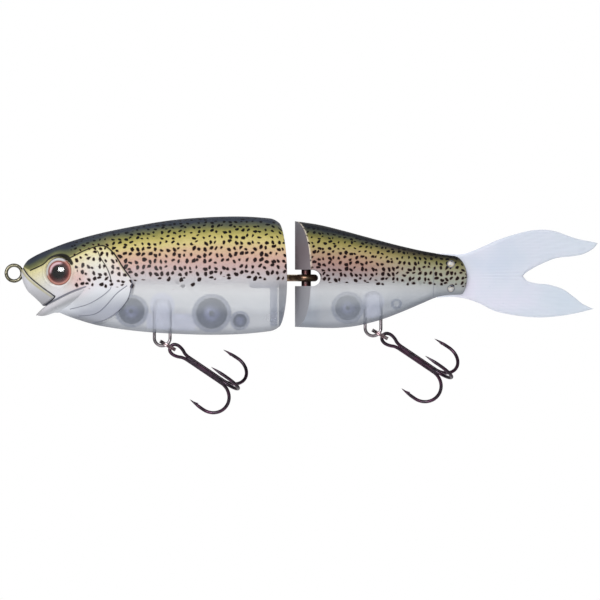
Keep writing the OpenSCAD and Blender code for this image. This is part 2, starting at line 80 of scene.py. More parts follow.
# Outlines of the two bodies, keys of [x, value]: back, belly, middle height, share of the half width
FRONT = (
    [(2.3, 2.7), (6.2, 5.2), (10, 7), (17.4, 9.8), (26.8, 12.4), (38, 14.7), (49.2, 16.5), (60.4, 17.4),
     (71.6, 17.6), (80.9, 16.9), (86, 16)],
    [(2.3, -3.9), (6.2, -7.4), (9.3, -10.1), (13.7, -12.1), (19.3, -14.3), (26.8, -16.4), (39.8, -18.2),
     (52.9, -19), (62.2, -19.2), (71.6, -18.9), (80.9, -17.9), (86, -16.9)],
    [(2.3, 0), (20, -1.5), (50, -2), (86, -1.5)],
    [(2.3, 0.32), (6, 0.5), (10, 0.63), (16, 0.775), (26, 0.92), (45, 1), (62, 1), (75, 0.96), (86, 0.91)])
REAR = (
    [(86.5, 16.3), (94.6, 15.1), (102.1, 13.3), (109.5, 11.3), (118.9, 8.8), (128.2, 6.7), (135.7, 5.6),
     (140.9, 5.1)],
    [(86.5, -16.7), (98.3, -17.1), (103.9, -16.8), (107.7, -16.2), (113.9, -14.6), (120.4, -12.2),
     (127, -9.4), (131.3, -7.6), (135, -6.95), (140.9, -6.8)],
    [(86.5, -1.5), (110, -1.4), (140.9, -1.2)],
    [(86.5, 0.91), (95, 0.85), (105, 0.71), (115, 0.55), (125, 0.41), (132, 0.33), (140.9, 0.27)])

# Lines of the head, keys of [x, z]
GILL = [(16.6, 4.1), (18.6, 5), (23, 7.2), (28, 8.4), (31.4, 6.1), (34.4, 1.6), (37.0, -2.2), (36.9, -4.6),
        (35.7, -8.4), (32.6, -12.0), (28.6, -14.5), (24.6, -15.4)]
CHEEK = [(21.5, 5.7), (23.5, 6.5), (26.2, 6.9), (27.4, 4.6), (29.3, 1.7), (30.5, -1.4), (30.7, -4.3),
         (29.3, -6.1), (26.0, -8.4), (22.6, -10.0), (17.8, -11.2)]
FOLD = [(35.6, -4.0), (32.4, -6.4), (29.8, -9.3), (27.0, -11.9), (24.3, -13.0), (20.4, -13.3)]
MOUTH = [(2.9, 1.6), (5.4, -1.4), (9.1, -4.4), (12.3, -6.7), (12.9, -7.6), (9.8, -10.2)]
BROW = [(5.4, 0.8), (9.5, 2.7), (11.2, 4.4)]
CROWN = [(2.3, 2.6), (3.6, 1.6), (5.4, 0.9), (9.5, 2.8), (13.5, 5.4), (17.2, 4.6), (22, 6.9), (26, 8.2),
         (30, 8.2)]
JAW_TOP = [(6.9, -12.85), (9.6, -10.6), (13, -8.75), (17.4, -6.6), (20.4, -5.4), (23.2, -4.5)]


# ---------------- curves
def curve(keys, x):
    """Smooth curve through [x, value] keys, the same as the CAD's."""
    kx, kv = np.array(keys, float).T
    n = len(kx)
    lo = np.maximum(np.arange(n) - 1, 0)
    hi = np.minimum(np.arange(n) + 1, n - 1)
    slope = (kv[hi] - kv[lo]) / (kx[hi] - kx[lo])
    x = np.asarray(x, float)
    i = np.clip(np.searchsorted(kx, x, side="right") - 1, 0, n - 2)
    h = kx[i + 1] - kx[i]
    t = (x - kx[i]) / h
    return ((2 * t**3 - 3 * t**2 + 1) * kv[i] + (t**3 - 2 * t**2 + t) * h * slope[i]
            + (3 * t**2 - 2 * t**3) * kv[i + 1] + (t**3 - t**2) * h * slope[i + 1])


def held(keys, x):
    """The curve, held at its end values past its ends."""
    return curve(keys, np.clip(x, keys[0][0], keys[-1][0]))


def smooth_line(keys, steps=14):
    """Catmull-Rom points through the keys."""
    k = np.array(keys, float)
    out = []
    for i in range(len(k) - 1):
        a, b, c, d = k[max(i - 1, 0)], k[i], k[i + 1], k[min(i + 2, len(k) - 1)]
        for t in np.arange(steps) / steps:
            out.append(0.5 * (2 * b + (c - a) * t + (2 * a - 5 * b + 4 * c - d) * t**2
                              + (3 * b - a - 3 * c + d) * t**3))
    return np.array(out + [k[-1]])


def to_line(points, line):
    """Distance from each [x, z] point to the line, signed: positive on its left when walking along it."""
    best = np.full(len(points), 1e9)
    signed = np.zeros(len(points))
    for a, b in zip(line[:-1], line[1:]):
        d = b - a
        rel = points - a
        t = np.clip(rel @ d / max(d @ d, 1e-12), 0, 1)
        dist = np.hypot(*(rel - t[:, None] * d).T)
        closer = dist < best
        best = np.where(closer, dist, best)
        signed = np.where(closer, np.sign(d[0] * rel[:, 1] - d[1] * rel[:, 0]) * dist, signed)
    return signed


def bump(d, width):
    """1 at 0, and fading to both sides."""
    return np.exp(-((d / width) ** 2))


def ease(x, a, b):
    """0 up to a, 1 from b, smooth between."""
    t = np.clip((x - a) / (b - a), 0, 1)
    return t * t * (3 - 2 * t)


def fall(x, a, b):
    return 1 - ease(x, a, b)


def round_in(distance, radius):
    """Half height of a rounded end, as a share, at a distance from the end."""
    return np.sqrt(np.maximum(0, 1 - (1 - np.minimum(distance / radius, 1)) ** 2))


# ---------------- materials
def srgb(r, g, b):
    """The linear colour of an sRGB one."""
    parts = [c / 255 for c in (r, g, b)]
    return (*(c / 12.92 if c <= 0.04045 else ((c + 0.055) / 1.055) ** 2.4 for c in parts), 1.0)


def grey(value):
    return (value, value, value, 1)


class Paint:
    """A material under construction."""

    def __init__(self, name):
        self.material = bpy.data.materials.new(name)
        self.material.use_nodes = True
        self.tree = self.material.node_tree
        self.tree.nodes.clear()
        self.out = self.put("OutputMaterial")

    def put(self, kind, ins=None, **props):
        """A new node, with its inputs linked or set."""
        node = self.tree.nodes.new("ShaderNode" + kind)
        for key, value in props.items():
            setattr(node, key, value)
        for key, value in (ins or {}).items():
            if isinstance(value, bpy.types.NodeSocket):
                self.tree.links.new(value, node.inputs[key])
            else:
                node.inputs[key].default_value = value
        return node

    def math(self, operation, a, b=0.0, c=0.0, clamp=False):
        return self.put("Math", {0: a, 1: b, 2: c}, operation=operation, use_clamp=clamp).outputs[0]

    def times(self, a, b, clamp=False):
        return self.math("MULTIPLY", a, b, clamp=clamp)

    def plus(self, a, b):
        return self.math("ADD", a, b)

    def less(self, a, b, clamp=False):
        return self.math("SUBTRACT", a, b, clamp=clamp)

    def fit(self, a, gain, base):
        """a * gain + base"""
        return self.math("MULTIPLY_ADD", a, gain, base)

    def vector(self, operation, a, b):
        return self.put("VectorMath", {0: a, 1: b}, operation=operation).outputs[0]

    def length(self, a):
        return self.put("VectorMath", {0: a}, operation="LENGTH").outputs["Value"]

    def attribute(self, name):
        return self.put("Attribute", attribute_name=name).outputs["Fac"]

    def ramp(self, fac, *stops):
        """Colours over a value, by stops of [value, linear colour]."""
        node = self.put("ValToRGB", {"Fac": fac})
        elements = node.color_ramp.elements
        while len(elements) < len(stops):
            elements.new(0.5)
        for element, (place, colour) in zip(elements, stops):
            element.position, element.color = place, colour
        return node.outputs["Color"]

    def tones(self, fac, *stops, gain=1.0, base=0.0):
        """Colours by stops of [value, r, g, b] in sRGB. The ramp is read at value * gain + base."""
        return self.ramp(fac, *((gain * t + base, srgb(*rgb)) for t, *rgb in stops))

    def mask(self, fac, lo, hi):
        """0 below lo and 1 above hi."""
        return self.put("MapRange", {"Value": fac, "From Min": lo, "From Max": hi},
                        interpolation_type="SMOOTHSTEP").outputs["Result"]

    def mix(self, fac, a, b, blend="MIX"):
        return self.put("Mix", {0: fac, 6: a, 7: b}, data_type="RGBA", blend_type=blend).outputs[2]

    def place(self, scale=(1, 1, 1), turn=(0, 0, 0)):
        where = self.put("TexCoord").outputs["Object"]
        return self.put("Mapping", {"Vector": where, "Scale": scale, "Rotation": turn}).outputs["Vector"]

    def noise_node(self, scale, detail, where=None):
        return self.put("TexNoise", {"Vector": where or self.place(), "Scale": scale, "Detail": detail,
                                     "Roughness": 0.5})

    def noise(self, scale, detail, where=None):
        return self.noise_node(scale, detail, where).outputs["Fac"]

    def cells(self, scale, where, more=None):
        """Distance from the middle of the nearest cell."""
        return self.put("TexVoronoi", {"Vector": where, "Scale": scale} | (more or {})).outputs["Distance"]

    def relief(self, height, strength, distance):
        node = self.put("Bump", {"Height": height, "Strength": strength, "Distance": distance})
        return node.outputs["Normal"]

    def finish(self, shader):
        self.tree.links.new(shader, self.out.inputs["Surface"])
        return self.material

    def surface(self, colour, rough, more):
        shader = self.put("BsdfPrincipled", {"Base Color": colour, "Roughness": rough} | more)
        return self.finish(shader.outputs[0])


BAND_FIT = {"gain": 0.7, "base": 0.3}  # brings all heights of the bands within a ramp's 0 to 1


def trout_bands(p, band, where):
    """The colours of the side, of the rear body's back part, and of the head, by height. The lowest stops are
    painted shade.
    """
    wavy = p.plus(band, p.times(p.less(p.noise(260, 3, where), 0.5), 0.09))
    height = p.fit(wavy, **BAND_FIT)
    body = p.tones(
        height, (-0.42, 168, 175, 188), (-0.3, 208, 214, 223), (-0.1, 226, 229, 235), (0.06, 214, 212, 217),
        (0.18, 200, 187, 189), (0.3, 205, 175, 171), (0.42, 212, 175, 157), (0.53, 214, 184, 148),
        (0.63, 212, 197, 134), (0.73, 188, 176, 104), (0.81, 138, 134, 76), (0.87, 92, 95, 74),
        (0.93, 52, 58, 68), (1.0, 32, 37, 51), **BAND_FIT)
    back = p.tones(
        height, (-0.42, 156, 166, 180), (-0.2, 190, 197, 206), (0.0, 200, 204, 206), (0.22, 182, 186, 172),
        (0.45, 172, 172, 150), (0.64, 158, 155, 118), (0.76, 128, 124, 80), (0.84, 84, 80, 54),
        (0.92, 42, 42, 38), (1.0, 22, 23, 27), **BAND_FIT)
    cheek = p.tones(
        height, (-0.42, 186, 190, 204), (-0.33, 210, 214, 224), (-0.2, 228, 231, 237), (-0.08, 229, 227, 233),
        (0.1, 228, 226, 222), (0.28, 232, 227, 204), (0.4, 230, 221, 174), (0.5, 192, 186, 122),
        (0.58, 124, 124, 84), (0.68, 96, 100, 72), (0.8, 58, 64, 70), (0.9, 42, 48, 62), (1.0, 28, 32, 46),
        **BAND_FIT)
    colour = p.mix(p.attribute("head"), p.mix(p.attribute("tail"), body, back), cheek)
    return p.mix(p.times(p.attribute("blush"), 0.55), colour, srgb(226, 166, 160))


def trout_spots(p, where):
    """Black spots, one to a cell of the unrolled side, each an oval of its own size, turn and ragged edge.

    The value is how far inside a spot a point is.
    """
    along = p.put("SeparateXYZ", {"Vector": where}).outputs["X"]
    unrolled = p.put("CombineXYZ", {"X": along, "Y": p.times(p.attribute("around"), MM)}).outputs[0]
    push = p.vector("SUBTRACT", p.noise_node(900, 3, where).outputs["Color"], (0.5, 0.5, 0.5))
    bent = p.vector("ADD", unrolled, p.vector("MULTIPLY", push, (0.0008, 0.0008, 0.0)))
    cell = p.put("TexVoronoi", {"Vector": bent, "Scale": p.math("DIVIDE", p.attribute("crowd"), SPOT_CELL),
                                "Randomness": 0.6}, voronoi_dimensions="2D")
    chance = p.put("SeparateColor", {"Color": cell.outputs["Color"]}).outputs
    off = p.vector("SUBTRACT", bent, cell.outputs["Position"])
    oval = p.put("VectorRotate", {"Vector": off, "Angle": p.times(chance["Green"], math.pi)},
                 rotation_type="Z_AXIS").outputs[0]
    far = p.length(p.vector("MULTIPLY", oval, (0.82 / MM, 1.18 / MM, 0.0)))
    room = p.times(p.fit(chance["Red"], 0.24, 0.37), p.attribute("size"))
    missing = p.mask(p.less(chance["Blue"], p.attribute("spots")), 0.0, 0.15)
    room = p.less(room, p.times(missing, 0.95))
    return p.fit(p.less(p.noise(2200, 2, where), 0.5), 0.24, p.less(room, far))


def skin_material():
    """Trout paint over frosted plastic: bands, black spots, inked lines, painted shade and highlight, and a
    see-through belly.
    """
    p = Paint("trout_skin")
    band, where = p.attribute("band"), p.place()
    colour = trout_bands(p, band, where)

    # fine scale net and slanted hairlines
    net = p.cells(2100.0, p.place((1, 1, 1.25)), {"Randomness": 0.7})
    fleck = p.fit(net, 0.42, p.times(p.noise(1500, 2, where), 0.62))
    hair = p.put("TexWave", {"Vector": p.place((1, 1, 1), (0, math.radians(28), 0)), "Scale": 640.0,
                             "Distortion": 2.6, "Detail": 2.0, "Detail Scale": 1.4}).outputs["Fac"]
    painted = p.mask(band, -0.02, 0.16)
    scales = p.ramp(fleck, (0.28, grey(0.62)), (0.48, grey(0.86)), (0.7, grey(1)))
    colour = p.mix(p.times(painted, 0.55), colour, scales, "MULTIPLY")
    streak = p.ramp(hair, (0.0, (0.86, 0.87, 0.89, 1)), (1.0, grey(1)))
    colour = p.mix(p.fit(painted, -0.18, 0.4), colour, streak, "MULTIPLY")
    shade = p.attribute("shade")
    dim = p.put("CombineColor", {"Red": shade, "Green": shade, "Blue": shade}).outputs[0]
    colour = p.mix(1.0, colour, dim, "MULTIPLY")
    colour = p.mix(p.times(p.mask(p.attribute("rim"), 0.2, 0.95), 0.7), colour, srgb(178, 170, 108))

    # spots, black lines, grey lines with painted shade, and where the paint is worn or has a painted
    # highlight
    inside = trout_spots(p, where)
    warm = p.mask(band, 0.78, 0.5)
    fringe = p.times(p.mask(inside, -0.26, 0.0), warm)
    spot = p.mask(inside, -0.06, 0.07)
    colour = p.mix(p.times(fringe, 0.42), colour, srgb(116, 62, 50))
    colour = p.mix(spot, colour, p.mix(warm, srgb(12, 11, 14), srgb(26, 12, 13)))
    ink = p.mask(p.attribute("ink"), 0.22, 0.6)
    colour = p.mix(p.times(ink, 0.97), colour, srgb(20, 18, 20))
    # grey lines, with painted shadow over the jaw's top edge and painted shade along the belly's bottom edge
    colour = p.mix(p.times(p.mask(p.attribute("grey_ink"), 0.2, 0.7), 0.8), colour, srgb(104, 108, 124))
    # pale patches of worn paint, and a painted highlight along the rear body's front edge
    worn = p.times(p.attribute("worn"), p.mask(p.noise(900, 3, where), 0.36, 0.52))
    colour = p.mix(worn, colour, srgb(226, 214, 196))

    # the clear belly, where nothing dark is painted
    seen = p.times(p.attribute("clear"), p.less(1.0, p.math("MAXIMUM", spot, ink)))
    cloud = p.fit(p.noise(120, 3, where), 0.12, -0.06)
    alpha = p.less(1.0, p.plus(seen, p.times(cloud, seen)), clamp=True)
    rough = p.fit(p.mask(band, 0.84, 1.0), 0.34, p.fit(p.noise(500, 3, where), 0.14, 0.3))
    normal = p.relief(p.plus(p.times(net, 0.5), p.times(hair, 0.5)), 0.16, 0.00006)
    return p.surface(colour, rough, {"Alpha": alpha, "Normal": normal, "Specular IOR Level": 0.09,
                                     "Coat Weight": 0.03, "Coat Roughness": 0.14})


def bare_material():
    """Unpainted moulded plastic of the joint faces."""
    p = Paint("bare_plastic")
    where = p.place()
    tone = p.noise(90, 4, where)
    height = p.put("SeparateXYZ", {"Vector": where}).outputs["Z"]
    up = p.put("MapRange", {"Value": height, "From Min": -0.017, "From Max": 0.017}).outputs["Result"]
    colour = p.tones(up, (0.0, 158, 162, 172), (0.4, 176, 176, 182), (0.5, 150, 140, 146),
                     (0.7, 132, 118, 124), (1.0, 110, 112, 120))
    colour = p.mix(p.times(tone, 0.5), colour, srgb(150, 146, 148))
    normal = p.relief(p.noise(1400, 3, where), 0.12, 0.00008)
    return p.surface(colour, p.fit(tone, 0.2, 0.3), {"Normal": normal})


def milky_material(name, grain, dark, light, least, rough, glow, strength):
    """Cloudy plastic of the pieces inside the shells, with a painted glow that lightens them in the shells'
    shade. least is its alpha where it is clearest.
    """
    p = Paint(name)
    cloud = p.noise(grain, 3)
    colour = p.tones(cloud, (0.3, *dark), (0.7, *light))
    return p.surface(colour, rough, {"Alpha": p.fit(cloud, 0.3, least), "Emission Color": (*glow, 1),
                                     "Emission Strength": strength})


def peg_material():
    """Pale hard plastic of the pins that hold the tail."""
    p = Paint("tail_pin_plastic")
    tone = p.noise(900, 3)
    colour = p.tones(tone, (0.3, 186, 186, 190), (0.7, 214, 212, 210))
    return p.surface(colour, p.fit(tone, 0.2, 0.22), {})


def metal_material(name, dark, light, rough=0.22, streaks=(900, 900, 900), tint=None, spread=0.5):
    """Plated or polished metal with drawn streaks, small pits and a slight tint."""
    p = Paint(name)
    drawn = p.noise(1.0, 4, p.place(streaks))
    colour = p.tones(drawn, (0.5 - spread / 2, *dark), (0.5 + spread / 2, *light))
    if tint:
        colour = p.mix(p.times(p.mask(p.noise(420, 2), 0.42, 0.62), 0.6), colour, srgb(*tint))
    return p.surface(colour, p.fit(p.noise(2400, 2), 0.16, rough),
                     {"Metallic": 1.0, "Normal": p.relief(drawn, 0.25, 0.00002)})


def lead_material():
    """Dull grey ballast, with a painted highlight ring, a dark pit, and painted shade towards its edge.
    'ring' is 0 at its middle and 1 at its edge.
    """
    p = Paint("dull_ballast")
    where = p.place()
    tone = p.noise(700, 4, where)
    ring = p.ramp(p.attribute("ring"), (0.0, (0.05, 0.05, 0.08, 1)), (0.14, (0.1, 0.1, 0.14, 1)),
                  (0.22, grey(3.4)), (0.42, (2.6, 2.6, 2.7, 1)), (0.6, (0.8, 0.8, 0.9, 1)),
                  (1.0, (0.42, 0.42, 0.52, 1)))
    colour = p.mix(1.0, p.tones(tone, (0.3, 58, 60, 84), (0.7, 80, 82, 108)), ring, "MULTIPLY")
    normal = p.relief(p.cells(1500.0, where), 0.2, 0.0001)
    return p.surface(colour, p.fit(tone, 0.25, 0.4), {"Metallic": 0.35, "Normal": normal})


def tail_material():
    """Soft, milky, slightly bluish plastic with faint rays and tiny bubbles."""
    p = Paint("milky_soft_plastic")
    where, thin = p.place(), p.attribute("thin")
    colour = p.tones(p.noise(70, 4, where), (0.3, 214, 222, 238), (0.5, 224, 228, 242), (0.72, 232, 230, 246))
    colour = p.mix(p.times(thin, 0.5), colour, srgb(206, 222, 234))
    colour = p.mix(p.times(p.attribute("edge"), 0.5), colour, srgb(196, 202, 214))
    bubble = p.mask(p.less(0.09, p.cells(420.0, where)), -0.02, 0.02)
    colour = p.mix(p.times(bubble, 0.25), colour, srgb(190, 202, 216))
    rays = p.put("TexWave", {"Vector": p.place((0.12, 1, 1)), "Scale": 330.0, "Distortion": 1.4,
                             "Detail": 2.0}, bands_direction="Z").outputs["Fac"]
    colour = p.mix(0.8, colour, p.ramp(rays, (0.0, (0.975, 0.98, 0.985, 1)), (1.0, grey(1))), "MULTIPLY")
    fine = p.noise(900, 3, where)
    normal = p.relief(p.plus(p.times(rays, 0.6), p.times(fine, 0.25)), 0.12, 0.0001)
    return p.surface(colour, p.fit(fine, 0.2, 0.26), {
        "Normal": normal, "Alpha": p.less(0.9, p.times(thin, 0.22)), "Subsurface Weight": 0.25,
        "Subsurface Scale": 0.002, "Subsurface Radius": (1.0, 0.9, 1.0)})


def foil_material():
    """Printed eye foil: black pupil, dark iris, copper ring, pale border, and a painted pinkish reflection on
    its upper side. 'ring' is the radius in mm.
    """
    p = Paint("eye_foil")
    ring = p.attribute("ring")
    polar = p.put("CombineXYZ", {"X": p.times(p.attribute("turn"), 9.0), "Y": p.times(ring, 0.7)}).outputs[0]
    flecks = p.noise(1.0, 3, polar)
    r = p.plus(p.math("DIVIDE", ring, EYE_R), p.fit(flecks, 0.04, -0.02))
    lower = p.tones(r, (0.0, 6, 6, 8), (0.45, 8, 7, 9), (0.5, 34, 6, 8), (0.62, 60, 13, 14),
                    (0.73, 88, 28, 27), (0.79, 152, 84, 74), (0.86, 206, 146, 134), (0.91, 186, 112, 92),
                    (0.96, 100, 44, 32), (1.0, 214, 206, 200))
    upper = p.tones(r, (0.0, 6, 6, 8), (0.42, 14, 10, 12), (0.48, 96, 46, 54), (0.58, 228, 194, 204),
                    (0.68, 214, 168, 176), (0.73, 132, 60, 48), (0.78, 150, 82, 66), (0.82, 188, 186, 190),
                    (0.92, 214, 214, 219), (0.97, 176, 176, 184), (1.0, 120, 110, 106))
    return p.surface(p.mix(p.attribute("high"), lower, upper), p.fit(flecks, 0.15, 0.25),
                     {"Specular IOR Level": 0.06})


def lens_material():
    """Clear resin dome: see-through, with its own gloss on the outside."""
    p = Paint("clear_lens")
    fresnel = p.put("Fresnel", {"IOR": 1.45}).outputs[0]
    smear = p.fit(p.noise(300, 2), 0.03, 0.02)
    gloss = p.put("BsdfGlossy", {"Color": grey(1), "Roughness": smear}).outputs[0]
    clear = p.put("BsdfTransparent", {"Color": grey(0.98)}).outputs[0]
    inner = p.put("NewGeometry").outputs["Backfacing"]
    share = p.times(p.times(fresnel, 1.75), p.less(1.0, inner), clamp=True)
    return p.finish(p.put("MixShader", {0: share, 1: clear, 2: gloss}).outputs[0])


def floor_material(radius):
    """Pale floor that fades out towards its edge, and isn't there from below."""
    p = Paint("pale_floor")
    where = p.put("TexCoord").outputs["Object"]
    colour = p.ramp(p.noise(40, 3, where), (0.3, grey(0.9)), (0.7, grey(0.94)))
    under = p.put("NewGeometry").outputs["Backfacing"]
    fade = p.times(p.mask(p.length(where), radius, radius * 0.35), p.less(1.0, under))
    return p.surface(colour, 0.9, {"Alpha": fade, "Emission Color": grey(1), "Emission Strength": 0.32})


SKIN = skin_material()
BARE = bare_material()
# the inside pieces glow a little: painted light, not lamps
RIB = milky_material("milky_rib", 220, (126, 130, 156), (168, 172, 192), 0.22, 0.4, (0.6, 0.64, 0.76), 0.12)
BOSS = milky_material("clear_boss", 300, (196, 198, 220), (232, 232, 242), 0.2, 0.35, (0.8, 0.82, 0.9), 0.3)
LEAD = lead_material()
TAIL = tail_material()
FOIL = foil_material()
LENS = lens_material()
PEG = peg_material()
EYE_WIRE = metal_material("line_eye_metal", (44, 42, 38), (128, 124, 104), 0.2)
JOINT_METAL = metal_material("joint_metal", (84, 70, 54), (172, 152, 122), 0.24, (120, 900, 900),
                             (110, 78, 66))
PIN_METAL = metal_material("pin_metal", (44, 34, 36), (96, 76, 74), 0.28, (900, 900, 160), (88, 50, 52))
WIRE_METAL = metal_material("hanger_metal", (70, 66, 70), (150, 142, 146), 0.22)
RING_METAL = metal_material("ring_metal", (70, 60, 62), (168, 152, 154), 0.2, (700, 700, 700), (110, 84, 92))
HOOK_METAL = metal_material("hook_metal", (24, 22, 26), (74, 64, 74), 0.24, (300, 300, 300), (78, 50, 68),
                            0.6)


# ---------------- mesh tools
def box_mm(node):
    low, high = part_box(node)
    return np.array(low) / MM, np.array(high) / MM


def centre_of(node):
    """Middle and half size of a CAD node's box."""
    low, high = box_mm(node)
    return (low + high) / 2, (high - low) / 2


def metres(points_mm):
    return [tuple(float(c) * MM for c in v) for v in points_mm]


def add_object(name, data):
    obj = bpy.data.objects.new(name, data)
    bpy.context.scene.collection.objects.link(obj)
    return obj


def plain_mesh(name, points_mm, faces):
    mesh = bpy.data.meshes.new(name)
    mesh.from_pydata(metres(points_mm), [], [tuple(int(i) for i in f) for f in faces])
    return mesh


def fix_normals(mesh):
    b = bmesh.new()
    b.from_mesh(mesh)
    bmesh.ops.recalc_face_normals(b, faces=b.faces)
    b.to_mesh(mesh)
    b.free()


def mesh_object(name, points_mm, faces, materials, face_slots=None, sharp=None):
    """A smooth object. Edges steeper than sharp, in degrees, stay sharp."""
    mesh = plain_mesh(name, points_mm, faces)
    mesh.validate()
    for material in materials:
        mesh.materials.append(material)
    if face_slots is not None:
        mesh.polygons.foreach_set("material_index", np.asarray(face_slots, np.int32))
    fix_normals(mesh)
    mesh.shade_smooth()
    if sharp is not None:
        mesh.set_sharp_from_angle(angle=math.radians(sharp))
    return add_object(name, mesh)


def welded_object(name, points_mm, faces, face_slots, materials, near, thinnest=None):
    """An object whose doubled corners are merged, up to a distance of near metres."""
    b = bmesh.new()
    corners = [b.verts.new(v) for v in metres(points_mm)]
    for face, slot in zip(faces, face_slots):
        b.faces.new([corners[i] for i in dict.fromkeys(face)]).material_index = slot
    bmesh.ops.remove_doubles(b, verts=b.verts, dist=near)
    if thinnest:
        bmesh.ops.dissolve_degenerate(b, edges=b.edges, dist=thinnest)
    bmesh.ops.recalc_face_normals(b, faces=b.faces)
    mesh = bpy.data.meshes.new(name)
    b.to_mesh(mesh)
    b.free()
    for material in materials:
        mesh.materials.append(material)
    return add_object(name, mesh)


def place_piece(obj, body, node=None):
    """The body that a piece moves with, and the CAD node that it stands for."""
    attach(obj, body)
    if node:
        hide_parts(node)


def piece(name, shape, material, body, node=None, side=1, sharp=None):
    """A piece made of a shape's points and faces, mirrored to its side."""
    points, faces = shape
    obj = mesh_object(name, np.asarray(points) * (1, side, 1), faces, [material], sharp=sharp)
    place_piece(obj, body, node)
    return obj


def set_attributes(mesh, **layers):
    """One number for each point, for the materials to read."""
    for name, values in layers.items():
        layer = mesh.attributes.new(name, "FLOAT", "POINT")
        values = np.broadcast_to(np.asarray(values, np.float32), len(mesh.vertices))
        layer.data.foreach_set("value", np.ascontiguousarray(values))


def points_of(mesh):
    co = np.zeros(len(mesh.vertices) * 3, np.float32)
    mesh.vertices.foreach_get("co", co)
    return co.reshape(-1, 3).astype(float) / MM


def strip(one, two):
    """Faces between two rows of points."""
    return [(one[j], one[j + 1], two[j + 1], two[j]) for j in range(len(one) - 1)]


def grid_faces(rows, cols, wrap=False):
    faces = []
    for i in range(rows - 1):
        one = [i * cols + j for j in range(cols)]
        one += one[:1] if wrap else []
        faces += strip(one, [k + cols for k in one])
    return faces


def end_caps(rows, cols):
    return [tuple(range(cols)), tuple((rows - 1) * cols + j for j in range(cols))]


def prism_faces(n):
    """Faces of a solid made of two outlines of n points."""
    sides = [(i, n + i, n + (i + 1) % n, (i + 1) % n) for i in range(n)]
    return [tuple(range(n)), tuple(range(2 * n - 1, n - 1, -1))] + sides


def frames_along(path, closed):
    """Two directions across the path at each point, carried along without twist."""
    if closed:
        tangent = np.roll(path, -1, 0) - np.roll(path, 1, 0)
    else:
        tangent = np.gradient(path, axis=0)
    tangent /= np.linalg.norm(tangent, axis=1)[:, None]
    normal = np.zeros_like(path)
    last = np.array([0, 1.0, 0]) if abs(tangent[0][1]) < 0.9 else np.array([1.0, 0, 0])
    for i, t in enumerate(tangent):
        v = last - (last @ t) * t
        last = normal[i] = v / np.linalg.norm(v)
    return normal, np.cross(tangent, normal)


def tube(path, radius, sides, closed=False):
    """Points and faces of a round wire along a path, with domed ends."""
    path = np.asarray(path, float)
    radius = np.broadcast_to(np.asarray(radius, float), (len(path),)).copy()
    if not closed:
        # extra rings shrink over the last radius, down to a hair
        dome = [(math.sin(a), math.cos(a)) for a in np.linspace(0, math.pi / 2, 6)[1:]]

        def end(at, before):
            out = (path[at] - path[before]) / np.linalg.norm(path[at] - path[before])
            rings = [path[at] + out * radius[at] * s for s, _ in dome]
            return rings, [max(radius[at] * c, 0.003) for _, c in dome]

        (head, head_r), (foot, foot_r) = end(0, 1), end(-1, -2)
        path = np.vstack([head[::-1], path, foot])
        radius = np.concatenate([head_r[::-1], radius, foot_r])
    u, w = frames_along(path, closed)
    a = np.linspace(0, 2 * math.pi, sides, endpoint=False)[None, :, None]
    spoke = np.cos(a) * u[:, None, :] + np.sin(a) * w[:, None, :]
    points = path[:, None, :] + radius[:, None, None] * spoke
    faces = grid_faces(len(path), sides, wrap=True)
    if closed:
        last = (len(path) - 1) * sides
        faces += [(last + j, last + (j + 1) % sides, (j + 1) % sides, j) for j in range(sides)]
    else:
        faces += end_caps(len(path), sides)
    return points.reshape(-1, 3), faces


def lathe(profile, sides):
    """Points and faces of a profile [(r, z)] turned about Z. A point with r 0 closes the end."""
    points, rows, faces = [], [], []
    for r, z in profile:
        count = 1 if r < 1e-6 else sides
        rows.append(range(len(points), len(points) + count))
        turns = [2 * math.pi * k / sides for k in range(count)]
        points += [(r * math.cos(a), r * math.sin(a), z) if count > 1 else (0, 0, z) for a in turns]
    for a, b in zip(rows[:-1], rows[1:]):
        for k in range(sides):
            ring = (a[k % len(a)], a[(k + 1) % len(a)], b[(k + 1) % len(b)], b[k % len(b)])
            corners = tuple(dict.fromkeys(ring))
            if len(corners) > 2:
                faces.append(corners)
    return np.array(points, float), faces


def rounded(x0, x1, z0, z1, radius, steps):
    """A rectangle with its corners rounded."""
    c = [np.array(p, float) for p in ((x0, z0), (x1, z0), (x1, z1), (x0, z1))]
    out = []
    for i, p in enumerate(c):
        a, b = c[i - 1] - p, c[(i + 1) % 4] - p
        la, lb = np.linalg.norm(a), np.linalg.norm(b)
        cut = min(radius, la * 0.45, lb * 0.45)
        s, e = p + a / la * cut, p + b / lb * cut
        out += [(1 - t) ** 2 * s + 2 * t * (1 - t) * p + t * t * e for t in np.arange(steps + 1) / steps]
    return out


def join(shapes):
    points, faces, base = [], [], 0
    for p, f in shapes:
        points.append(np.asarray(p, float))
        faces += [tuple(i + base for i in q) for q in f]
        base += len(p)
    return np.vstack(points), faces


def turned(points, axis, degrees):
    m = np.array(Matrix.Rotation(math.radians(degrees), 3, axis))
    return np.asarray(points) @ m.T


# ---------------- body shells
ANGLES = np.linspace(-math.pi / 2, math.pi / 2, 201)
FRONT_SPLIT, REAR_SPLIT = 60.0, 100.0  # the rows behind or ahead of these lean with the joint faces
FRONT_ROWS_END, REAR_ROWS_START = 86.0, 87.4
HEAD_END, TAPER_START = 38.8, 128.0  # rows are closer together on the head and near the tail


def section(keys, x, a, up_end, down_end, wide):
    """Half width and height of a body's outline at x and an angle round it."""
    top, belly, mid, half = keys
    m = curve(mid, x)
    up = (curve(top, x) - m) * up_end
    down = (m - curve(belly, x)) * down_end
    w = curve(half, x) * BODY_HALF * wide
    c, s = np.cos(a), np.sin(a)
    y = w * np.sign(c) * np.abs(c) ** POWER
    z = m + np.where(s > 0, up, down) * np.sign(s) * np.abs(s) ** POWER
    return y, z


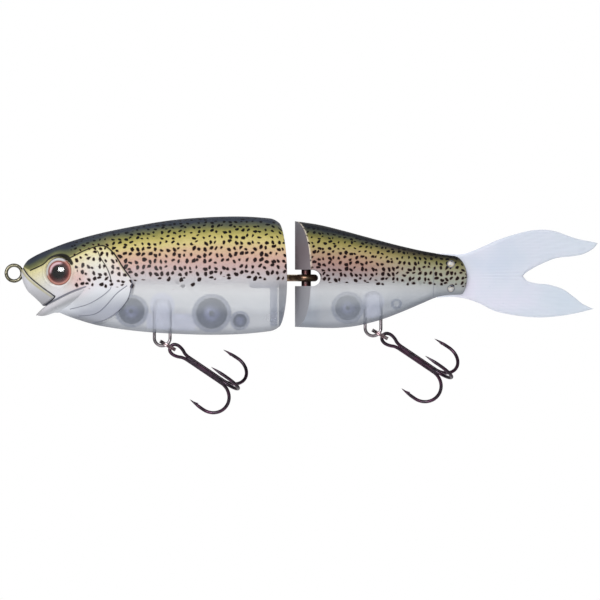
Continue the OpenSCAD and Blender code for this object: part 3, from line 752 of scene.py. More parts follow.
def front_point(x, a):
    nose = round_in(x - NOSE_X, NOSE_ROUND)
    back = np.sqrt(1 - (np.maximum(x - 79.5, 0) / 9.0) ** 2)
    return section(FRONT, x, a, nose * back, nose * back, nose)


def rear_point(x, a):
    upper = round_in(REAR_END - x, TAIL_ROUND)
    lower = round_in(REAR_END - x, TAIL_ROUND / 2)
    return section(REAR, x, a, upper, lower, 0.6 + 0.4 * upper)


def joint_edge(point, face_x, lean):
    """Where the outer surface meets a leaning joint face, at each angle."""
    x = np.full(len(ANGLES), face_x + 2)
    for _ in range(12):
        x = face_x + point(x, ANGLES)[0] * lean
    return x[None, :]


def surface_grid(point, x):
    y, z = point(x, np.repeat(ANGLES[None, :], len(x), 0))
    return np.stack([x, y, z], 2)


def front_grid():
    """Outer surface of one half (+Y), rows along x, columns from belly to back."""
    nose = NOSE_X + NOSE_ROUND * (1 - np.cos(np.linspace(0.06, 1, 22) * math.pi / 2))
    head = np.arange(NOSE_X + NOSE_ROUND, HEAD_END, 0.16)
    xs = np.concatenate([nose[:-1], head, np.linspace(HEAD_END, FRONT_SPLIT, 52)[:-1],
                         np.linspace(FRONT_SPLIT, FRONT_ROWS_END, 64)])
    x = np.repeat(xs[:, None], len(ANGLES), 1)
    share = (x - FRONT_SPLIT) / (FRONT_ROWS_END - FRONT_SPLIT)
    lean = FRONT_SPLIT + share * (joint_edge(front_point, RECESS_X, RECESS_TAN) - FRONT_SPLIT)
    return surface_grid(front_point, np.where(x > FRONT_SPLIT, lean, x))


def rear_grid():
    """Outer surface of one half (+Y) of the rear body, like the front's."""
    end = REAR_END - TAIL_ROUND + TAIL_ROUND * np.sin(np.linspace(0, 0.985, 18) * math.pi / 2)
    xs = np.concatenate([np.linspace(REAR_ROWS_START, REAR_SPLIT, 46)[:-1],
                         np.linspace(REAR_SPLIT, TAPER_START, 64)[:-1],
                         np.arange(TAPER_START, REAR_END - TAIL_ROUND, 0.28), end])
    x = np.repeat(xs[:, None], len(ANGLES), 1)
    share = (x - REAR_ROWS_START) / (REAR_SPLIT - REAR_ROWS_START)
    start = joint_edge(rear_point, RIDGE_X, WEDGE_TAN)
    return surface_grid(rear_point, np.where(x < REAR_SPLIT, start + share * (REAR_SPLIT - start), x))


def eye_frame(side):
    """Centre of the eye, its outward axis, and the axis across it that points forward."""
    y = (curve(FRONT[3], EYE_X) * BODY_HALF - 0.15) * side
    t = math.radians(EYE_TURN)
    out = np.array([-math.sin(t), side * math.cos(t), 0])
    fore = np.array([-math.cos(t), -side * math.sin(t), 0])
    return np.array([EYE_X, y, EYE_Z]), out, fore


def round_eye(p):
    """Points of the +Y half as seen from the eye: depth, distance from its axis, and degrees round it."""
    centre, out, fore = eye_frame(1)
    rel = p - centre
    along = rel @ out
    r = np.linalg.norm(rel - along[:, None] * out, axis=1)
    return along, r, np.degrees(np.arctan2(rel[:, 2], -(rel @ fore)))


def head_lines(p):
    """Signed distances from the lines of the head: gill, cheek, fold, mouth, brow."""
    near = [to_line(p[:, [0, 2]], smooth_line(keys)) for keys in (GILL, CHEEK, FOLD, MOUTH, BROW)]
    return -near[0], -near[1], *near[2:]


def head_relief(p):
    """How far the head stands out (+) or in (-), in mm, at points of the +Y half, and where the socket is."""
    x, z = p[:, 0], p[:, 2]
    gill, cheek, fold, mouth, brow = head_lines(p)

    def step(d, height, reach):
        """A plate that stands out on one side of a line, and fades away from it."""
        rise = 1 / (1 + np.exp(-np.clip(d / 0.12, -40, 40)))
        return height * rise * bump(np.maximum(d, 0), reach)

    near_gill = ease(x, 9, 24) * fall(z, 8.5, 9.6) * ease(z, -14.6, -12.4)
    d = step(gill, 0.2 + 0.22 * ease(z, -6, 0), 7.0) * near_gill
    d -= 0.2 * bump(gill + 0.22, 0.28) * near_gill
    near_cheek = ease(x, 16, 21) * fall(z, 7.0, 8.0) * ease(z, -11.6, -9.6)
    d += step(cheek, 0.22, 5.0) * near_cheek
    d -= 0.12 * bump(cheek + 0.16, 0.24) * near_cheek
    d -= 0.14 * bump(fold, 0.28) + 0.3 * bump(mouth, 0.38) + 0.12 * bump(brow, 0.22)
    lip = ease(x, 2.2, 4) * fall(x, 11.8, 13.4) * (z < 2)
    d += 0.24 * bump(mouth + 0.75, 0.7) * lip
    along, r, angle = round_eye(p)
    near = along > -7
    d += near * 0.5 * bump(r - (EYE_R + 0.42), 0.42)
    d += near * 0.35 * bump(r - (EYE_R + 1.0), 0.8) * ease(angle, 12, 50) * fall(angle, 140, 175)
    return d, near * fall(r, EYE_R - 0.35, EYE_R + 0.06)


def displaced(grid, relief):
    """The surface moved along its normals, with its first and last columns kept on the middle plane."""
    n = np.cross(np.gradient(grid, axis=0), np.gradient(grid, axis=1))
    n = n / np.maximum(np.linalg.norm(n, axis=2), 1e-9)[..., None]
    n = n * np.sign((n[..., 1] * (grid[..., 1] + 0.001)).mean())
    n[:, 0] = (0, 0, -1)
    n[:, -1] = (0, 0, 1)
    moved = grid + relief.reshape(*grid.shape[:2], 1) * n
    moved[:, [0, -1], 1] = 0
    return moved


def around(q, keys):
    """Rough length along the section from its middle to points of the +Y half: + towards the back."""
    top, belly, mid, half = keys
    x = q[:, 0]
    m = curve(mid, x)
    wide = curve(half, x) * BODY_HALF
    tall = np.where(q[:, 2] > m, curve(top, x) - m, m - curve(belly, x))
    a = np.arctan2(np.abs(q[:, 2] - m) / tall, np.maximum(q[:, 1], 0) / wide)
    length = tall * (a / 2 + np.sin(2 * a) / 4) + wide * (a / 2 - np.sin(2 * a) / 4)
    return np.sign(q[:, 2] - m) * length


def most(*layers):
    return np.maximum.reduce(np.broadcast_arrays(*layers))


def paint_front(mesh, side):
    """The skin's layers on the front body, by height and by the lines of the head."""
    q = points_of(mesh) * (1, side, 1)
    x, z = q[:, 0], q[:, 2]
    _, r, angle = round_eye(q)
    gill, cheek, fold, mouth, brow = head_lines(q)
    top = held(FRONT[0], x)
    above_belly = z - held(FRONT[1], x)
    over_crown = z - held(CROWN, x)

    # height in the paint's bands: the head has its own, with a pale upper lip
    lip_side = ease(-mouth, 0, 0.3) * (x < LIP_BACK)
    lip = lip_side * fall(over_crown, -1.5, 0)
    head_band = np.where(over_crown > 0, 0.52 + 0.48 * over_crown / np.maximum(top - z + over_crown, 0.6),
                         0.46 + over_crown / 22)
    head_band = head_band * (1 - lip) - 0.12 * lip
    on_gill = ease(gill, -0.05, 0.05) * (x < GILL_BACK) * (z < 8.5)
    ahead = fall(x, 26, 34) * (over_crown > 0)
    head = np.where(x < GILL_FRONT, 1.0, most(on_gill, ahead))
    body_band = (z + 4) / (top + 4)
    blush = (bump(np.hypot((x - 20.5) / 4.2, (z + 1.6) / 4.6), 0.8) * (x > 16)
             + 0.6 * bump(np.hypot((x - 33) / 3.0, (z - 2.5) / 4), 0.9) * (gill > 0))

    # how likely a cell is to keep its spot
    spots = 1.22 * ease(body_band, 0.02, 0.17) - 0.2
    spots = np.where(z > LOW_SPOTS_Z, most(spots, 0.4 * fall(x, 54, 62) - 0.2), spots)
    behind_eye = ease(x, 18.2, 20.5) * ease(z, -5.6, -4.0)
    spots = np.where((gill > 0) & (x < GILL_BACK) | (x < 18), 1.16 * behind_eye - 0.2, spots)
    spots = np.where(z > top - 1.5, spots - 0.35, spots)

    # shade and see-through belly
    low_edge = fall(above_belly, 0.2, 2.6)
    lip_shade = lip_side * fall(z, -8.5, -1.0)
    throat = ease(-z, 10.5, 15) * fall(x, 26, 36) * (gill > -1)
    back_end = ease(x, 77, 84.5) * fall(z, -4, 4)
    clear_body = fall(z, -4.6, -0.8) * 0.55 * (1 - 0.4 * low_edge)
    clear_head = fall(z, -9.5, -4.5) * 0.22 * ease(x, 14, 22)
    clear = np.where(gill > 0, np.where(x < GILL_BACK, clear_head, clear_body), clear_body * ease(x, 22, 30))

    # black lines, grey lines with painted shadow and shade, and the gold edges beside them
    upper_gill = ease(z, -3.0, -0.5)
    arch = (bump(r - (EYE_R + 0.78), 0.42 + 0.3 * bump(angle - 62, 34)) * ease(angle, 14, 34)
            * fall(angle, 118, 150) * ease(z, 0, 2.5))
    ink = most(bump(gill, 0.22) * (x > 16.5) * upper_gill,
               bump(cheek, 0.2) * ease(z, -6, -2) * ease(x, 25.4, 26.6) * 0.72,
               bump(mouth, 0.21) * (z > -10.0), bump(brow, 0.22), arch * 0.95)
    # painted shadow just over the jaw's top edge, and painted shade along the belly's bottom edge, go with
    # the grey lines
    over_jaw = z - held(JAW_TOP, x) - 0.35
    soft = most(bump(gill, 0.17) * (1 - upper_gill), bump(fold, 0.16),
                bump(cheek, 0.14) * fall(z, -6, -2),
                bump(over_jaw, 0.3) * ease(x, 8.6, 10) * fall(x, 22.4, 23.6),
                0.55 * fall(above_belly, 0.0, 0.9) * ease(x, 16, 26))
    gold_lip = bump(mouth + 0.68, 0.52) * (1 - 0.35 * ease(-z, 4, 7)) * (z > -7.6) * (z < 1.6) * (x < 12.4)
    set_attributes(
        mesh, head=head, tail=0, band=head * head_band + (1 - head) * body_band, blush=np.clip(blush, 0, 1),
        spots=spots, crowd=1, size=1.1 - 0.12 * ease(body_band, 0.35, 0.8) - 0.1 * head,
        around=around(q, FRONT) + side * SIDE_SHIFT, clear=clear, ink=ink, grey_ink=soft, worn=0,
        shade=1 - 0.4 * lip_shade - 0.2 * throat - 0.42 * low_edge * ease(x, 9, 22) - 0.24 * back_end,
        rim=most(gold_lip, 0.75 * bump(gill - 0.42, 0.26) * upper_gill * (x > 20)))


def build_front(side, name, node):
    grid = front_grid()
    rows, cols, _ = grid.shape
    flat = grid.reshape(-1, 3)
    relief, socket = head_relief(flat)
    grid = displaced(grid, relief - 0.05 * bump(flat[:, 1], SEAM))
    points = grid.reshape(-1, 3)
    # the socket's floor is flat, just behind the foil
    centre, out, _ = eye_frame(1)
    points = points + (socket * (-EYE_DEPTH - 0.25 - (points - centre) @ out))[:, None] * out
    # joint face: from the outer edge to the middle, with a slightly broken edge
    y, z = grid[-1, :, 1], grid[-1, :, 2]
    shares = (0.02, 0.06, 0.3, 0.6, 1.0)
    for f in shares:
        inner = y * (1 - f)
        row = [RECESS_X + inner * RECESS_TAN, inner, JOINT_Z + (z - JOINT_Z) * (1 - 0.012 * min(f / 0.06, 1))]
        points = np.vstack([points, np.stack(row, 1)])
    faces = grid_faces(rows + len(shares), cols)
    slots = [0] * ((rows - 1) * (cols - 1)) + [1] * (len(shares) * (cols - 1))
    nose_cap = tuple(range(cols))
    obj = mesh_object(name, points * (1, side, 1), faces + [nose_cap], [SKIN, BARE], slots + [0], sharp=42)
    paint_front(obj.data, side)
    place_piece(obj, "front_body", node)


def cutter(name, shape):
    mesh = plain_mesh(name, *shape)
    fix_normals(mesh)
    return add_object(name, mesh)


def tail_clamp():
    """The flat gap that the tail's root fills."""
    outline = [(ROOT_FRONT - 0.3, -20), (150, -20), (150, 20), (ROOT_FRONT - 0.3, 20)]
    return [(x, y, z) for y in (-ROOT_HALF, ROOT_HALF) for x, z in outline], prism_faces(4)


def joint_slot():
    """The joint eye's slot: a flat box with a round end, right across the body."""
    r = SLOT_HEIGHT / 2
    bend = [(SLOT_END - r + r * math.sin(a), JOINT_Z - r * math.cos(a)) for a in np.linspace(0, math.pi, 25)]
    outline = [(80.0, JOINT_Z - r), *bend, (80.0, JOINT_Z + r)]
    return [(x, y, z) for y in (-15, 15) for x, z in outline], prism_faces(len(outline))


def carve(obj, tools):
    for tool in tools:
        cut = obj.modifiers.new("carve", "BOOLEAN")
        cut.operation, cut.solver, cut.object = "DIFFERENCE", "EXACT", tool
    bpy.context.view_layer.update()
    graph = bpy.context.evaluated_depsgraph_get()
    mesh = bpy.data.meshes.new_from_object(obj.evaluated_get(graph))
    old = obj.data
    obj.modifiers.clear()
    obj.data = mesh
    bpy.data.meshes.remove(old)
    for tool in tools:
        bpy.data.objects.remove(tool)


def open_middle(mesh):
    """Drop the faces on the middle plane, and make the faces of the cuts bare plastic."""
    b = bmesh.new()
    b.from_mesh(mesh)
    middle = [f for f in b.faces if all(abs(v.co.y) < 2e-6 for v in f.verts)]
    bmesh.ops.delete(b, geom=middle, context="FACES")
    for f in b.faces:
        c = f.calc_center_median() / MM
        clamp = abs(abs(c.y) - ROOT_HALF) < 0.02 and c.x > ROOT_FRONT - 0.4
        slot = abs(c.z - JOINT_Z) <= SLOT_HEIGHT / 2 + 0.01 and c.x < SLOT_END + 0.01
        if clamp or (slot and abs(f.normal.y) < 0.05):
            f.material_index = 1
    b.to_mesh(mesh)
    b.free()


def paint_rear(mesh, side):
    """The skin's layers on the rear body."""
    q = points_of(mesh) * (1, side, 1)
    x, y, z = q.T
    top = held(REAR[0], x)
    above_belly = z - held(REAR[1], x)
    floor = curve([(86, -4), (110, -4), (125, -4.2), (141, -5)], x)
    band = (z - floor) / (top - floor)
    backward = ease(x, 106, 128)
    spots = 1.22 * ease(band, -0.02, 0.14) - 0.2
    low_edge = fall(above_belly, 0.2, 2.6)
    clear = fall(z, -4.6, -0.8) * 0.43 * (1 - 0.45 * ease(x, 128, 131))
    clear = clear * (1 - 0.5 * fall(x, 92, 97)) * (1 - 0.4 * low_edge)
    clamp_line = 0.5 * bump(x - 130.4, 0.35) * ease(z, -9, -7) * fall(z, 1, 3)
    # painted shade: a grey line along the belly's bottom edge
    keel = 0.55 * fall(above_belly, 0.0, 0.9)
    from_peg = np.min([np.hypot(x - px, z - pz) for px, pz in TAIL_PINS], axis=0)
    peg_seat = 0.8 * fall(from_peg, 0.8, 1.0)
    # painted highlight and paint wear along the upper front edge, broken into patches
    edge_wear_and_highlight = bump(x - (RIDGE_X + y * WEDGE_TAN), 0.34) * ease(z, -2, 3)
    set_attributes(
        mesh, band=band, head=0, tail=backward, ink=0, rim=0, clear=clear,
        blush=0.5 * bump(np.hypot((x - 106) / 14, (z - 4.5) / 3.6), 0.8),
        spots=np.where(z > top - 1.2, spots - 0.35, spots), crowd=1.15,
        size=0.98 - 0.1 * ease(band, 0.4, 0.8), around=around(q, REAR) + side * SIDE_SHIFT,
        shade=0.9 - 0.24 * (1 - backward) * ease(z, -6, 1) - 0.4 * low_edge - 0.5 * ease(band, 0.86, 1.0),
        grey_ink=most(clamp_line, keel, bump(from_peg - 1.05, 0.16)), worn=most(edge_wear_and_highlight, peg_seat))


def build_rear(side, name, node):
    grid = rear_grid()
    rows, cols, _ = grid.shape
    grid = displaced(grid, -0.05 * bump(grid[..., 1], SEAM))
    points = grid.reshape(-1, 3)
    faces = grid_faces(rows, cols)
    slots = [0] * len(faces)
    # joint face: from the outer edge to the middle
    y, z = grid[0, :, 1], grid[0, :, 2]
    joint_rows = [list(range(cols))]
    for f in (0.02, 0.25, 0.55, 0.8, 1.0):
        inner = y * (1 - f)
        joint_rows.append(list(range(len(points), len(points) + cols)))
        points = np.vstack([points, np.stack([RIDGE_X + inner * WEDGE_TAN, inner, z], 1)])
        faces += strip(*joint_rows[-2:])
    slots += [1] * (len(faces) - len(slots))
    # the tail end and the middle plane close the solid
    tail_end = end_caps(rows, cols)[1]
    low = [row[0] for row in joint_rows[-2:0:-1]] + [i * cols for i in range(rows)]
    high = [i * cols + cols - 1 for i in reversed(range(rows))] + [row[-1] for row in joint_rows[1:-1]]
    faces += [tail_end, tuple(joint_rows[-1][::-1] + low + high)]
    obj = welded_object(name, points * (1, side, 1), faces, slots + [0, 1], [SKIN, BARE], near=1e-7)
    carve(obj, [cutter("cut_slot", joint_slot()), cutter("cut_tail", tail_clamp())])
    open_middle(obj.data)
    obj.data.shade_smooth()
    obj.data.set_sharp_from_angle(angle=math.radians(38))
    paint_rear(obj.data, side)
    place_piece(obj, "rear_body", node)


for side, word in SIDES:
    build_front(side, f"front_skin_{word}", f"front_shell_{word}")
    build_rear(side, f"rear_skin_{word}", f"rear_shell_{word}")


# ---------------- lower jaw
JAW_FRONT, JAW_BACK = 6.9, 23.2
JAW_LOW = [(6.9, -13.1), (9.9, -13.15), (13.35, -12.3), (17.1, -10.3), (19.9, -7.85), (23.2, -4.7)]
JAW_KEEL = [(6.9, -13.1), (8.2, -13.35), (9.9, -13.2), (13.4, -12.25), (17, -13.0), (23.2, -15)]
JAW_PLAN = [(6.9, 0.02), (7.3, 0.42), (8, 0.66), (9, 0.84), (10, 0.94), (12, 1.0), (23.2, 1.0)]


def jaw_side(x, z):
    """Half width of the chin at a height: the head's own section, closed to a point at the front."""
    mid = curve(FRONT[2], x)
    depth = np.clip((mid - z) / (mid - curve(JAW_KEEL, x)), 0, 1)
    wide = curve(FRONT[3], x) * BODY_HALF * curve(JAW_PLAN, x)
    return wide * (1 - depth ** (2 / POWER)) ** (POWER / 2)


def jaw_section(x):
    """Points of the jaw's section: up the inside, over the lip, and down the outside."""
    top, low, keel = (curve(k, x) for k in (JAW_TOP, JAW_LOW, JAW_KEEL))
    proud = 0.8 * ease(x, JAW_FRONT, 9.5) * fall(x, 19.5, JAW_BACK) + 0.05
    free = fall(x, 12.6, 14.4)
    bottom = low * (1 - free) + keel * free
    thick = 0.9 * ease(x, JAW_FRONT, 9.0) + 0.12
    edge = jaw_side(x, top) + proud
    inner = max(edge - thick, 0)
    floor = min(top - 0.3, max(top - 3.2, keel + 0.6))
    ring = [(x, inner * 0.5, floor), (x, inner * 0.9, floor + 0.3 * (top - floor)), (x, inner, top - 0.45)]
    half = min(thick, edge) / 2
    for a in np.linspace(math.pi, 0.0, 9):
        ring.append((x, edge - half + half * math.cos(a), top - half * 0.8 + half * 0.8 * math.sin(a)))
    for t in np.linspace(0.06, 1, 26):
        z = (top - 0.3) + (bottom - 0.25 * (1 - free) - top + 0.3) * math.sin(t * math.pi / 2)
        stand = proud * (1 - t**2.2) - 0.3 * (1 - free) * t**4
        ring.append((x, max(jaw_side(x, z) + stand * ease(1 - t * free, 0, 0.3), 0), z))
    return ring


def build_jaw(side, name):
    """Scoop of the lower jaw: a lip that stands proud of the throat and runs up the cheek."""
    rows = [jaw_section(x) for x in JAW_FRONT + (JAW_BACK - JAW_FRONT) * np.linspace(0, 1, 110) ** 1.35]
    size = len(rows), len(rows[0])
    shape = np.array(rows).reshape(-1, 3), grid_faces(*size) + end_caps(*size)
    obj = piece(name, shape, SKIN, "front_body", side=side, sharp=60)
    x, _, z = points_of(obj.data).T
    depth = held(JAW_TOP, x) - z
    # a grey line of painted shadow along the jaw's top edge
    set_attributes(
        obj.data, band=-0.02 - 0.06 * depth, head=1, tail=0, blush=0, spots=0, clear=0, ink=0, worn=0,
        around=0, crowd=1, rim=0, grey_ink=0.7 * bump(depth, 0.2) * ease(x, 9, 11),
        shade=(0.86 - 0.36 * bump(depth - 2.3, 1.0) - 0.16 * ease(depth, 2.4, 4.2)
               - 0.2 * fall(x, 7.5, 11)))


for side, word in SIDES:
    build_jaw(side, f"jaw_lip_{word}")


# ---------------- eyes
def build_foil(side, word):
    """Domed disc of printed foil, with the print's polar coordinates as attributes."""
    centre, out, fore = eye_frame(side)
    rings, sides = 40, 72
    points, ring, turn, high = [centre + (FOIL_RISE - FOIL_DEPTH) * out], [0], [0], [0.0]
    for r in (EYE_R - 0.04) * np.arange(1, rings + 1) / rings:
        rise = FOIL_RISE * (1 - (r / EYE_R) ** 2) - FOIL_DEPTH
        for k in range(sides):
            a = 2 * math.pi * k / sides
            points.append(centre + rise * out + r * (math.cos(a) * fore + np.array([0, 0, math.sin(a)])))
            ring.append(r)
            turn.append(math.cos(a) * math.sin(2 * a) + math.sin(3 * a))
            # 'high' marks the upper side, where the foil carries its painted reflection
            high.append(ease((0.62 * math.cos(a) + 0.78 * math.sin(a)) * r / EYE_R, 0.2, 0.46))
    faces = [(0, 1 + k, 1 + (k + 1) % sides) for k in range(sides)]
    faces += [tuple(1 + i for i in face) for face in grid_faces(rings, sides, wrap=True)]
    foil = piece(f"eye_foil_{word}", (points, faces), FOIL, "front_body", f"iris_{word}")
    set_attributes(foil.data, ring=ring, turn=turn, high=high)


def build_lens(side, word):
    """Resin dome over the foil: a cap of a sphere on a short straight wall."""
    centre, out, fore = eye_frame(side)
    rise = LENS_PROUD + 0.5
    radius = (EYE_R**2 + rise**2) / (2 * rise)
    profile = [(0, -FOIL_DEPTH - 0.3), (EYE_R - 0.1, -FOIL_DEPTH - 0.3), (EYE_R - 0.02, -FOIL_DEPTH - 0.2),
               (EYE_R - 0.02, -0.62)]
    for r in (EYE_R - 0.05) * (1 - np.arange(25) / 24):
        profile.append((r, LENS_PROUD - radius + math.sqrt(radius**2 - r**2)))
    local, faces = lathe(profile, 72)
    points = centre + local @ np.array([fore, (0, 0, 1), out])
    piece(f"eye_dome_{word}", (points, faces), LENS, "front_body", f"eye_lens_{word}", sharp=40)


for side, word in SIDES:
    build_foil(side, word)
    build_lens(side, word)


# ---------------- inside: weights, cups, ribs
def build_weight(node, body, name):
    """Ball of ballast with a small pit in each side."""
    c, half = centre_of(node)
    r, pit = half[0], 0.42
    flat, reach = math.sqrt(r * r - pit * pit), math.pi / 2 - math.asin(pit / r)
    ball = [(r * math.cos(a), r * math.sin(a)) for a in np.linspace(-reach, reach, 49)]
    profile = [(0, 0.55 - flat), (pit * 0.85, 0.5 - flat), *ball, (pit * 0.85, flat - 0.5), (0, flat - 0.55)]
    local, faces = lathe(profile, 72)
    points = turned(local, "X", 90) + c
    obj = piece(name, (points, faces), LEAD, body, node, sharp=50)
    ring = np.hypot(points[:, 0] - c[0], points[:, 2] - c[2]) / r
    # 'ring' places the painted highlight ring and the painted shade towards the edge; the trim weight has its
    # highlight in the middle
    set_attributes(obj.data, ring=0.22 + 0.5 * ring if node == "ballast_trim" else ring)


for place in ("fore", "main", "trim", "rear"):
    build_weight(f"ballast_{place}", "rear_body" if place == "rear" else "front_body", f"weight_{place}")


def room_inside(x, z, keys):
    """How far in y the hollow of a section reaches at [x, z]."""
    top, belly, mid, half = keys
    m = curve(mid, x)
    tall = np.where(z > m, curve(top, x) - m, m - curve(belly, x)) - WALL
    depth = np.clip(np.abs(z - m) / tall, 0, 1)
    return np.maximum(curve(half, x) * BODY_HALF - WALL, 0) * (1 - depth ** (2 / POWER)) ** (POWER / 2)


def plate(outline, y0, y1, keys):
    """A flat piece inside a section: an [x, z] outline between two depths, cut off where the shell begins."""
    points = []
    for a, b in zip(outline, outline[1:] + outline[:1]):
        n = max(1, int(math.dist(a, b) / 0.5))
        points += [(a[0] + (b[0] - a[0]) * k / n, a[1] + (b[1] - a[1]) * k / n) for k in range(n)]
    x, z = np.array(points).T
    z = np.maximum(z, curve(keys[1], x) + WALL)
    far = np.maximum(np.minimum(y1, room_inside(x, z, keys)), y0 + THINNEST)
    return np.vstack([np.stack([x, y0 + 0 * x, z], 1), np.stack([x, far, z], 1)]), prism_faces(len(x))


def bar(x0, x1, z0, z1, y0, y1, keys):
    """An upright rib whose outer edge follows the shell."""
    rows = []
    for z in np.linspace(z0, z1, 40):
        far = [max(min(y1, room_inside(x, z, keys)), y0 + THINNEST) for x in (x0, x1)]
        rows += [(x0, y0, z), (x0, far[0], z), (x1, far[1], z), (x1, y0, z)]
    return np.array(rows, float), grid_faces(40, 4, wrap=True) + end_caps(40, 4)


def keyhole(x, z, r, half, low):
    """Outline of a round boss over a straight neck that reaches down to a height."""
    start = math.asin(half / r)
    turn = [(x + r * math.sin(a), z - r * math.cos(a)) for a in np.linspace(start, 2 * math.pi - start, 40)]
    return [(x + half, low)] + turn + [(x - half, low)]


def cup(x, z, r_in, r_out, reach, keys, y0=0.15, sides=64):
    """A round cup wall, seen end on, cut off where the shell begins."""
    local, faces = lathe([(r_in, y0), (r_out, y0), (r_out, reach), (r_in, reach), (r_in, y0)], sides)
    points = turned(local, "X", -90) + (x, 0, z)
    points[:, 1] = np.maximum(np.minimum(points[:, 1], room_inside(points[:, 0], points[:, 2], keys)), y0)
    return points, faces


def weight_cup(node, wall, reach, keys):
    c, half = centre_of(node)
    return cup(c[0], c[2], half[0] + 0.1, half[0] + wall, reach, keys)


def build_inside(side, word):
    """Cups round the weights, bosses round the hangers, floor plates and ribs."""
    mid = centre_of("front_hook_hanger")[0][0]
    boss = [plate(keyhole(mid, -9.9, 3.9, 2.9, -17.9), 0.1, 1.2, FRONT),
            plate(keyhole(mid, -9.9, 3.2, 2.5, -17.9), 1.2, 4.4, FRONT)]
    for x0, x1 in ((41.2, mid - 3.0), (mid + 3.0, 56.4)):
        boss.append(plate([(x0, -18.0), (x1, -18.0), (x1, -12.6), (x0, -12.6)], 0.12, 0.5, FRONT))
    ribs = [weight_cup("ballast_fore", 1.0, 6.6, FRONT), weight_cup("ballast_main", 1.2, 6.2, FRONT),
            weight_cup("ballast_trim", 0.8, 5.2, FRONT), bar(79.7, 81.9, -16.6, -4.5, 0.05, 8.2, FRONT),
            plate([tuple(q) for q in rounded(73.2, 82.4, -4.7, 2.4, 1.2, 5)], 0.05, 4.6, FRONT)]
    piece(f"front_boss_{word}", join(boss), BOSS, "front_body", side=side, sharp=40)
    piece(f"front_ribs_{word}", join(ribs), RIB, "front_body", side=side, sharp=40)
    c, half = centre_of("rear_hook_hanger")
    mid, eye_z = c[0], c[2] + half[2] - 3.2
    boss = [plate(keyhole(mid, eye_z, 3.5, 2.6, -14.0), 0.1, 1.2, REAR),
            plate(keyhole(mid, eye_z, 2.9, 2.2, -13.6), 1.2, 3.4, REAR)]
    ribs = [weight_cup("ballast_rear", 1.1, 5.6, REAR),
            cup(119, -9.6, 0.95, 1.7, 2.6, REAR, y0=0.1, sides=32)]
    piece(f"rear_boss_{word}", join(boss), BOSS, "rear_body", side=side, sharp=40)
    piece(f"rear_ribs_{word}", join(ribs), RIB, "rear_body", side=side, sharp=40)


for side, word in SIDES:
    build_inside(side, word)


# ---------------- wire hardware
def arc(cx, cz, r, a0, a1, n, end=True):
    """Points of an arc in the middle plane."""
    return [(cx + r * math.cos(a), 0, cz + r * math.sin(a)) for a in np.linspace(a0, a1, n, endpoint=end)]


def build_hanger(node, body, name):
    """A closed upright link of wire."""
    (cx, _, cz), (half_x, half_wire, half_z) = centre_of(node)
    r = half_x - half_wire
    low, high = cz - half_z + r + half_wire, cz + half_z - r - half_wire
    climb = (high - low) * np.linspace(0, 1, 12)[1:-1]
    path = (arc(cx, low, r, -math.pi, 0, 33) + [(cx + r, 0, low + rise) for rise in climb]
            + arc(cx, high, r, 0, math.pi, 33) + [(cx - r, 0, high - fall) for fall in climb])
    piece(name, tube(path, half_wire, 22, closed=True), WIRE_METAL, body, node)


def build_line_eye():
    """A closed wire ring with a doubled neck."""
    low, high = box_mm("line_eye")
    wire, outer = high[1] - low[1], -low[0]
    parts = [tube(arc(0, 0, outer - wire / 2, 0, 2 * math.pi, 72, end=False), wire / 2, 24, closed=True)]
    for s in (-1, 1):
        path = smooth_line([(outer - wire * 0.7, 0, 1.15 * s), (outer + 0.2, 0, 0.62 * s),
                            (outer + 1.1, 0, 0.52 * s), (outer + 4.4, 0, 0.5 * s)], 8)
        parts.append(tube(path, wire * 0.46, 18))
    piece("line_eye_wire", join(parts), EYE_WIRE, "front_body", "line_eye", sharp=60)


def build_joint_eye():
    """Thick wire bent round the pin, with its shank and a fillet on each side."""
    c, half = centre_of("joint_eye")
    mid, thick = c[2], 2 * half[2]
    r = half[1] - thick / 2
    loop = [(PIN_X + x, y, mid) for x, _, y in arc(0, 0, r, 0, 2 * math.pi, 72, end=False)]
    shank = [(x, 0, mid) for x in np.linspace(76, PIN_X - r - 0.1, 30)]
    parts = [tube(loop, thick / 2, 26, closed=True), tube(shank, thick / 2 * 0.98, 26)]
    for s in (-1, 1):
        fillet = [(PIN_X - r - 2.2, 0.25 * s, mid), (PIN_X - r - 0.6, 0.8 * s, mid),
                  (PIN_X - r * 0.72, r * 0.66 * s, mid)]
        parts.append(tube(smooth_line(fillet, 8), thick / 2 * 0.9, 22))
    piece("joint_eye_wire", join(parts), JOINT_METAL, "front_body", "joint_eye")


def build_hinge_pin():
    """Pin with chamfered ends and fine turned grooves."""
    low, high = box_mm("hinge_pin")
    r, chamfer = (high[0] - low[0]) / 2, 0.3
    grooves = [(r - 0.012 * (1 + math.sin(z * 9)), z) for z in np.linspace(low[2] + 0.8, high[2] - 0.8, 60)]
    profile = [(0, low[2]), (r - chamfer, low[2]), (r, low[2] + chamfer), *grooves,
               (r, high[2] - chamfer), (r - chamfer, high[2]), (0, high[2])]
    local, faces = lathe(profile, 48)
    shape = local + (PIN_X, 0, 0), faces
    piece("hinge_pin_turned", shape, PIN_METAL, "rear_body", "hinge_pin", sharp=40)


def build_peg(x, z, word):
    """A tail pin, right across the body, with a low dome at each end."""
    node = f"tail_pin_{word}"
    ys, zs = rear_point(np.full(2001, x), np.linspace(-math.pi / 2, math.pi / 2, 2001))
    reach = float(np.interp(z, zs, ys))
    r = centre_of(node)[1][2]
    dome = [(r, 0.14), (r * 0.9, -0.02), (r * 0.55, -0.1), (0, -0.12)]
    profile = [(w, in_by - reach) for w, in_by in dome[::-1]] + [(r, 0)]
    profile += [(w, reach - in_by) for w, in_by in dome]
    local, faces = lathe(profile, 40)
    shape = turned(local, "X", 90) + (x, 0, z), faces
    piece(f"tail_peg_{word}", shape, PEG, "rear_body", node, sharp=50)


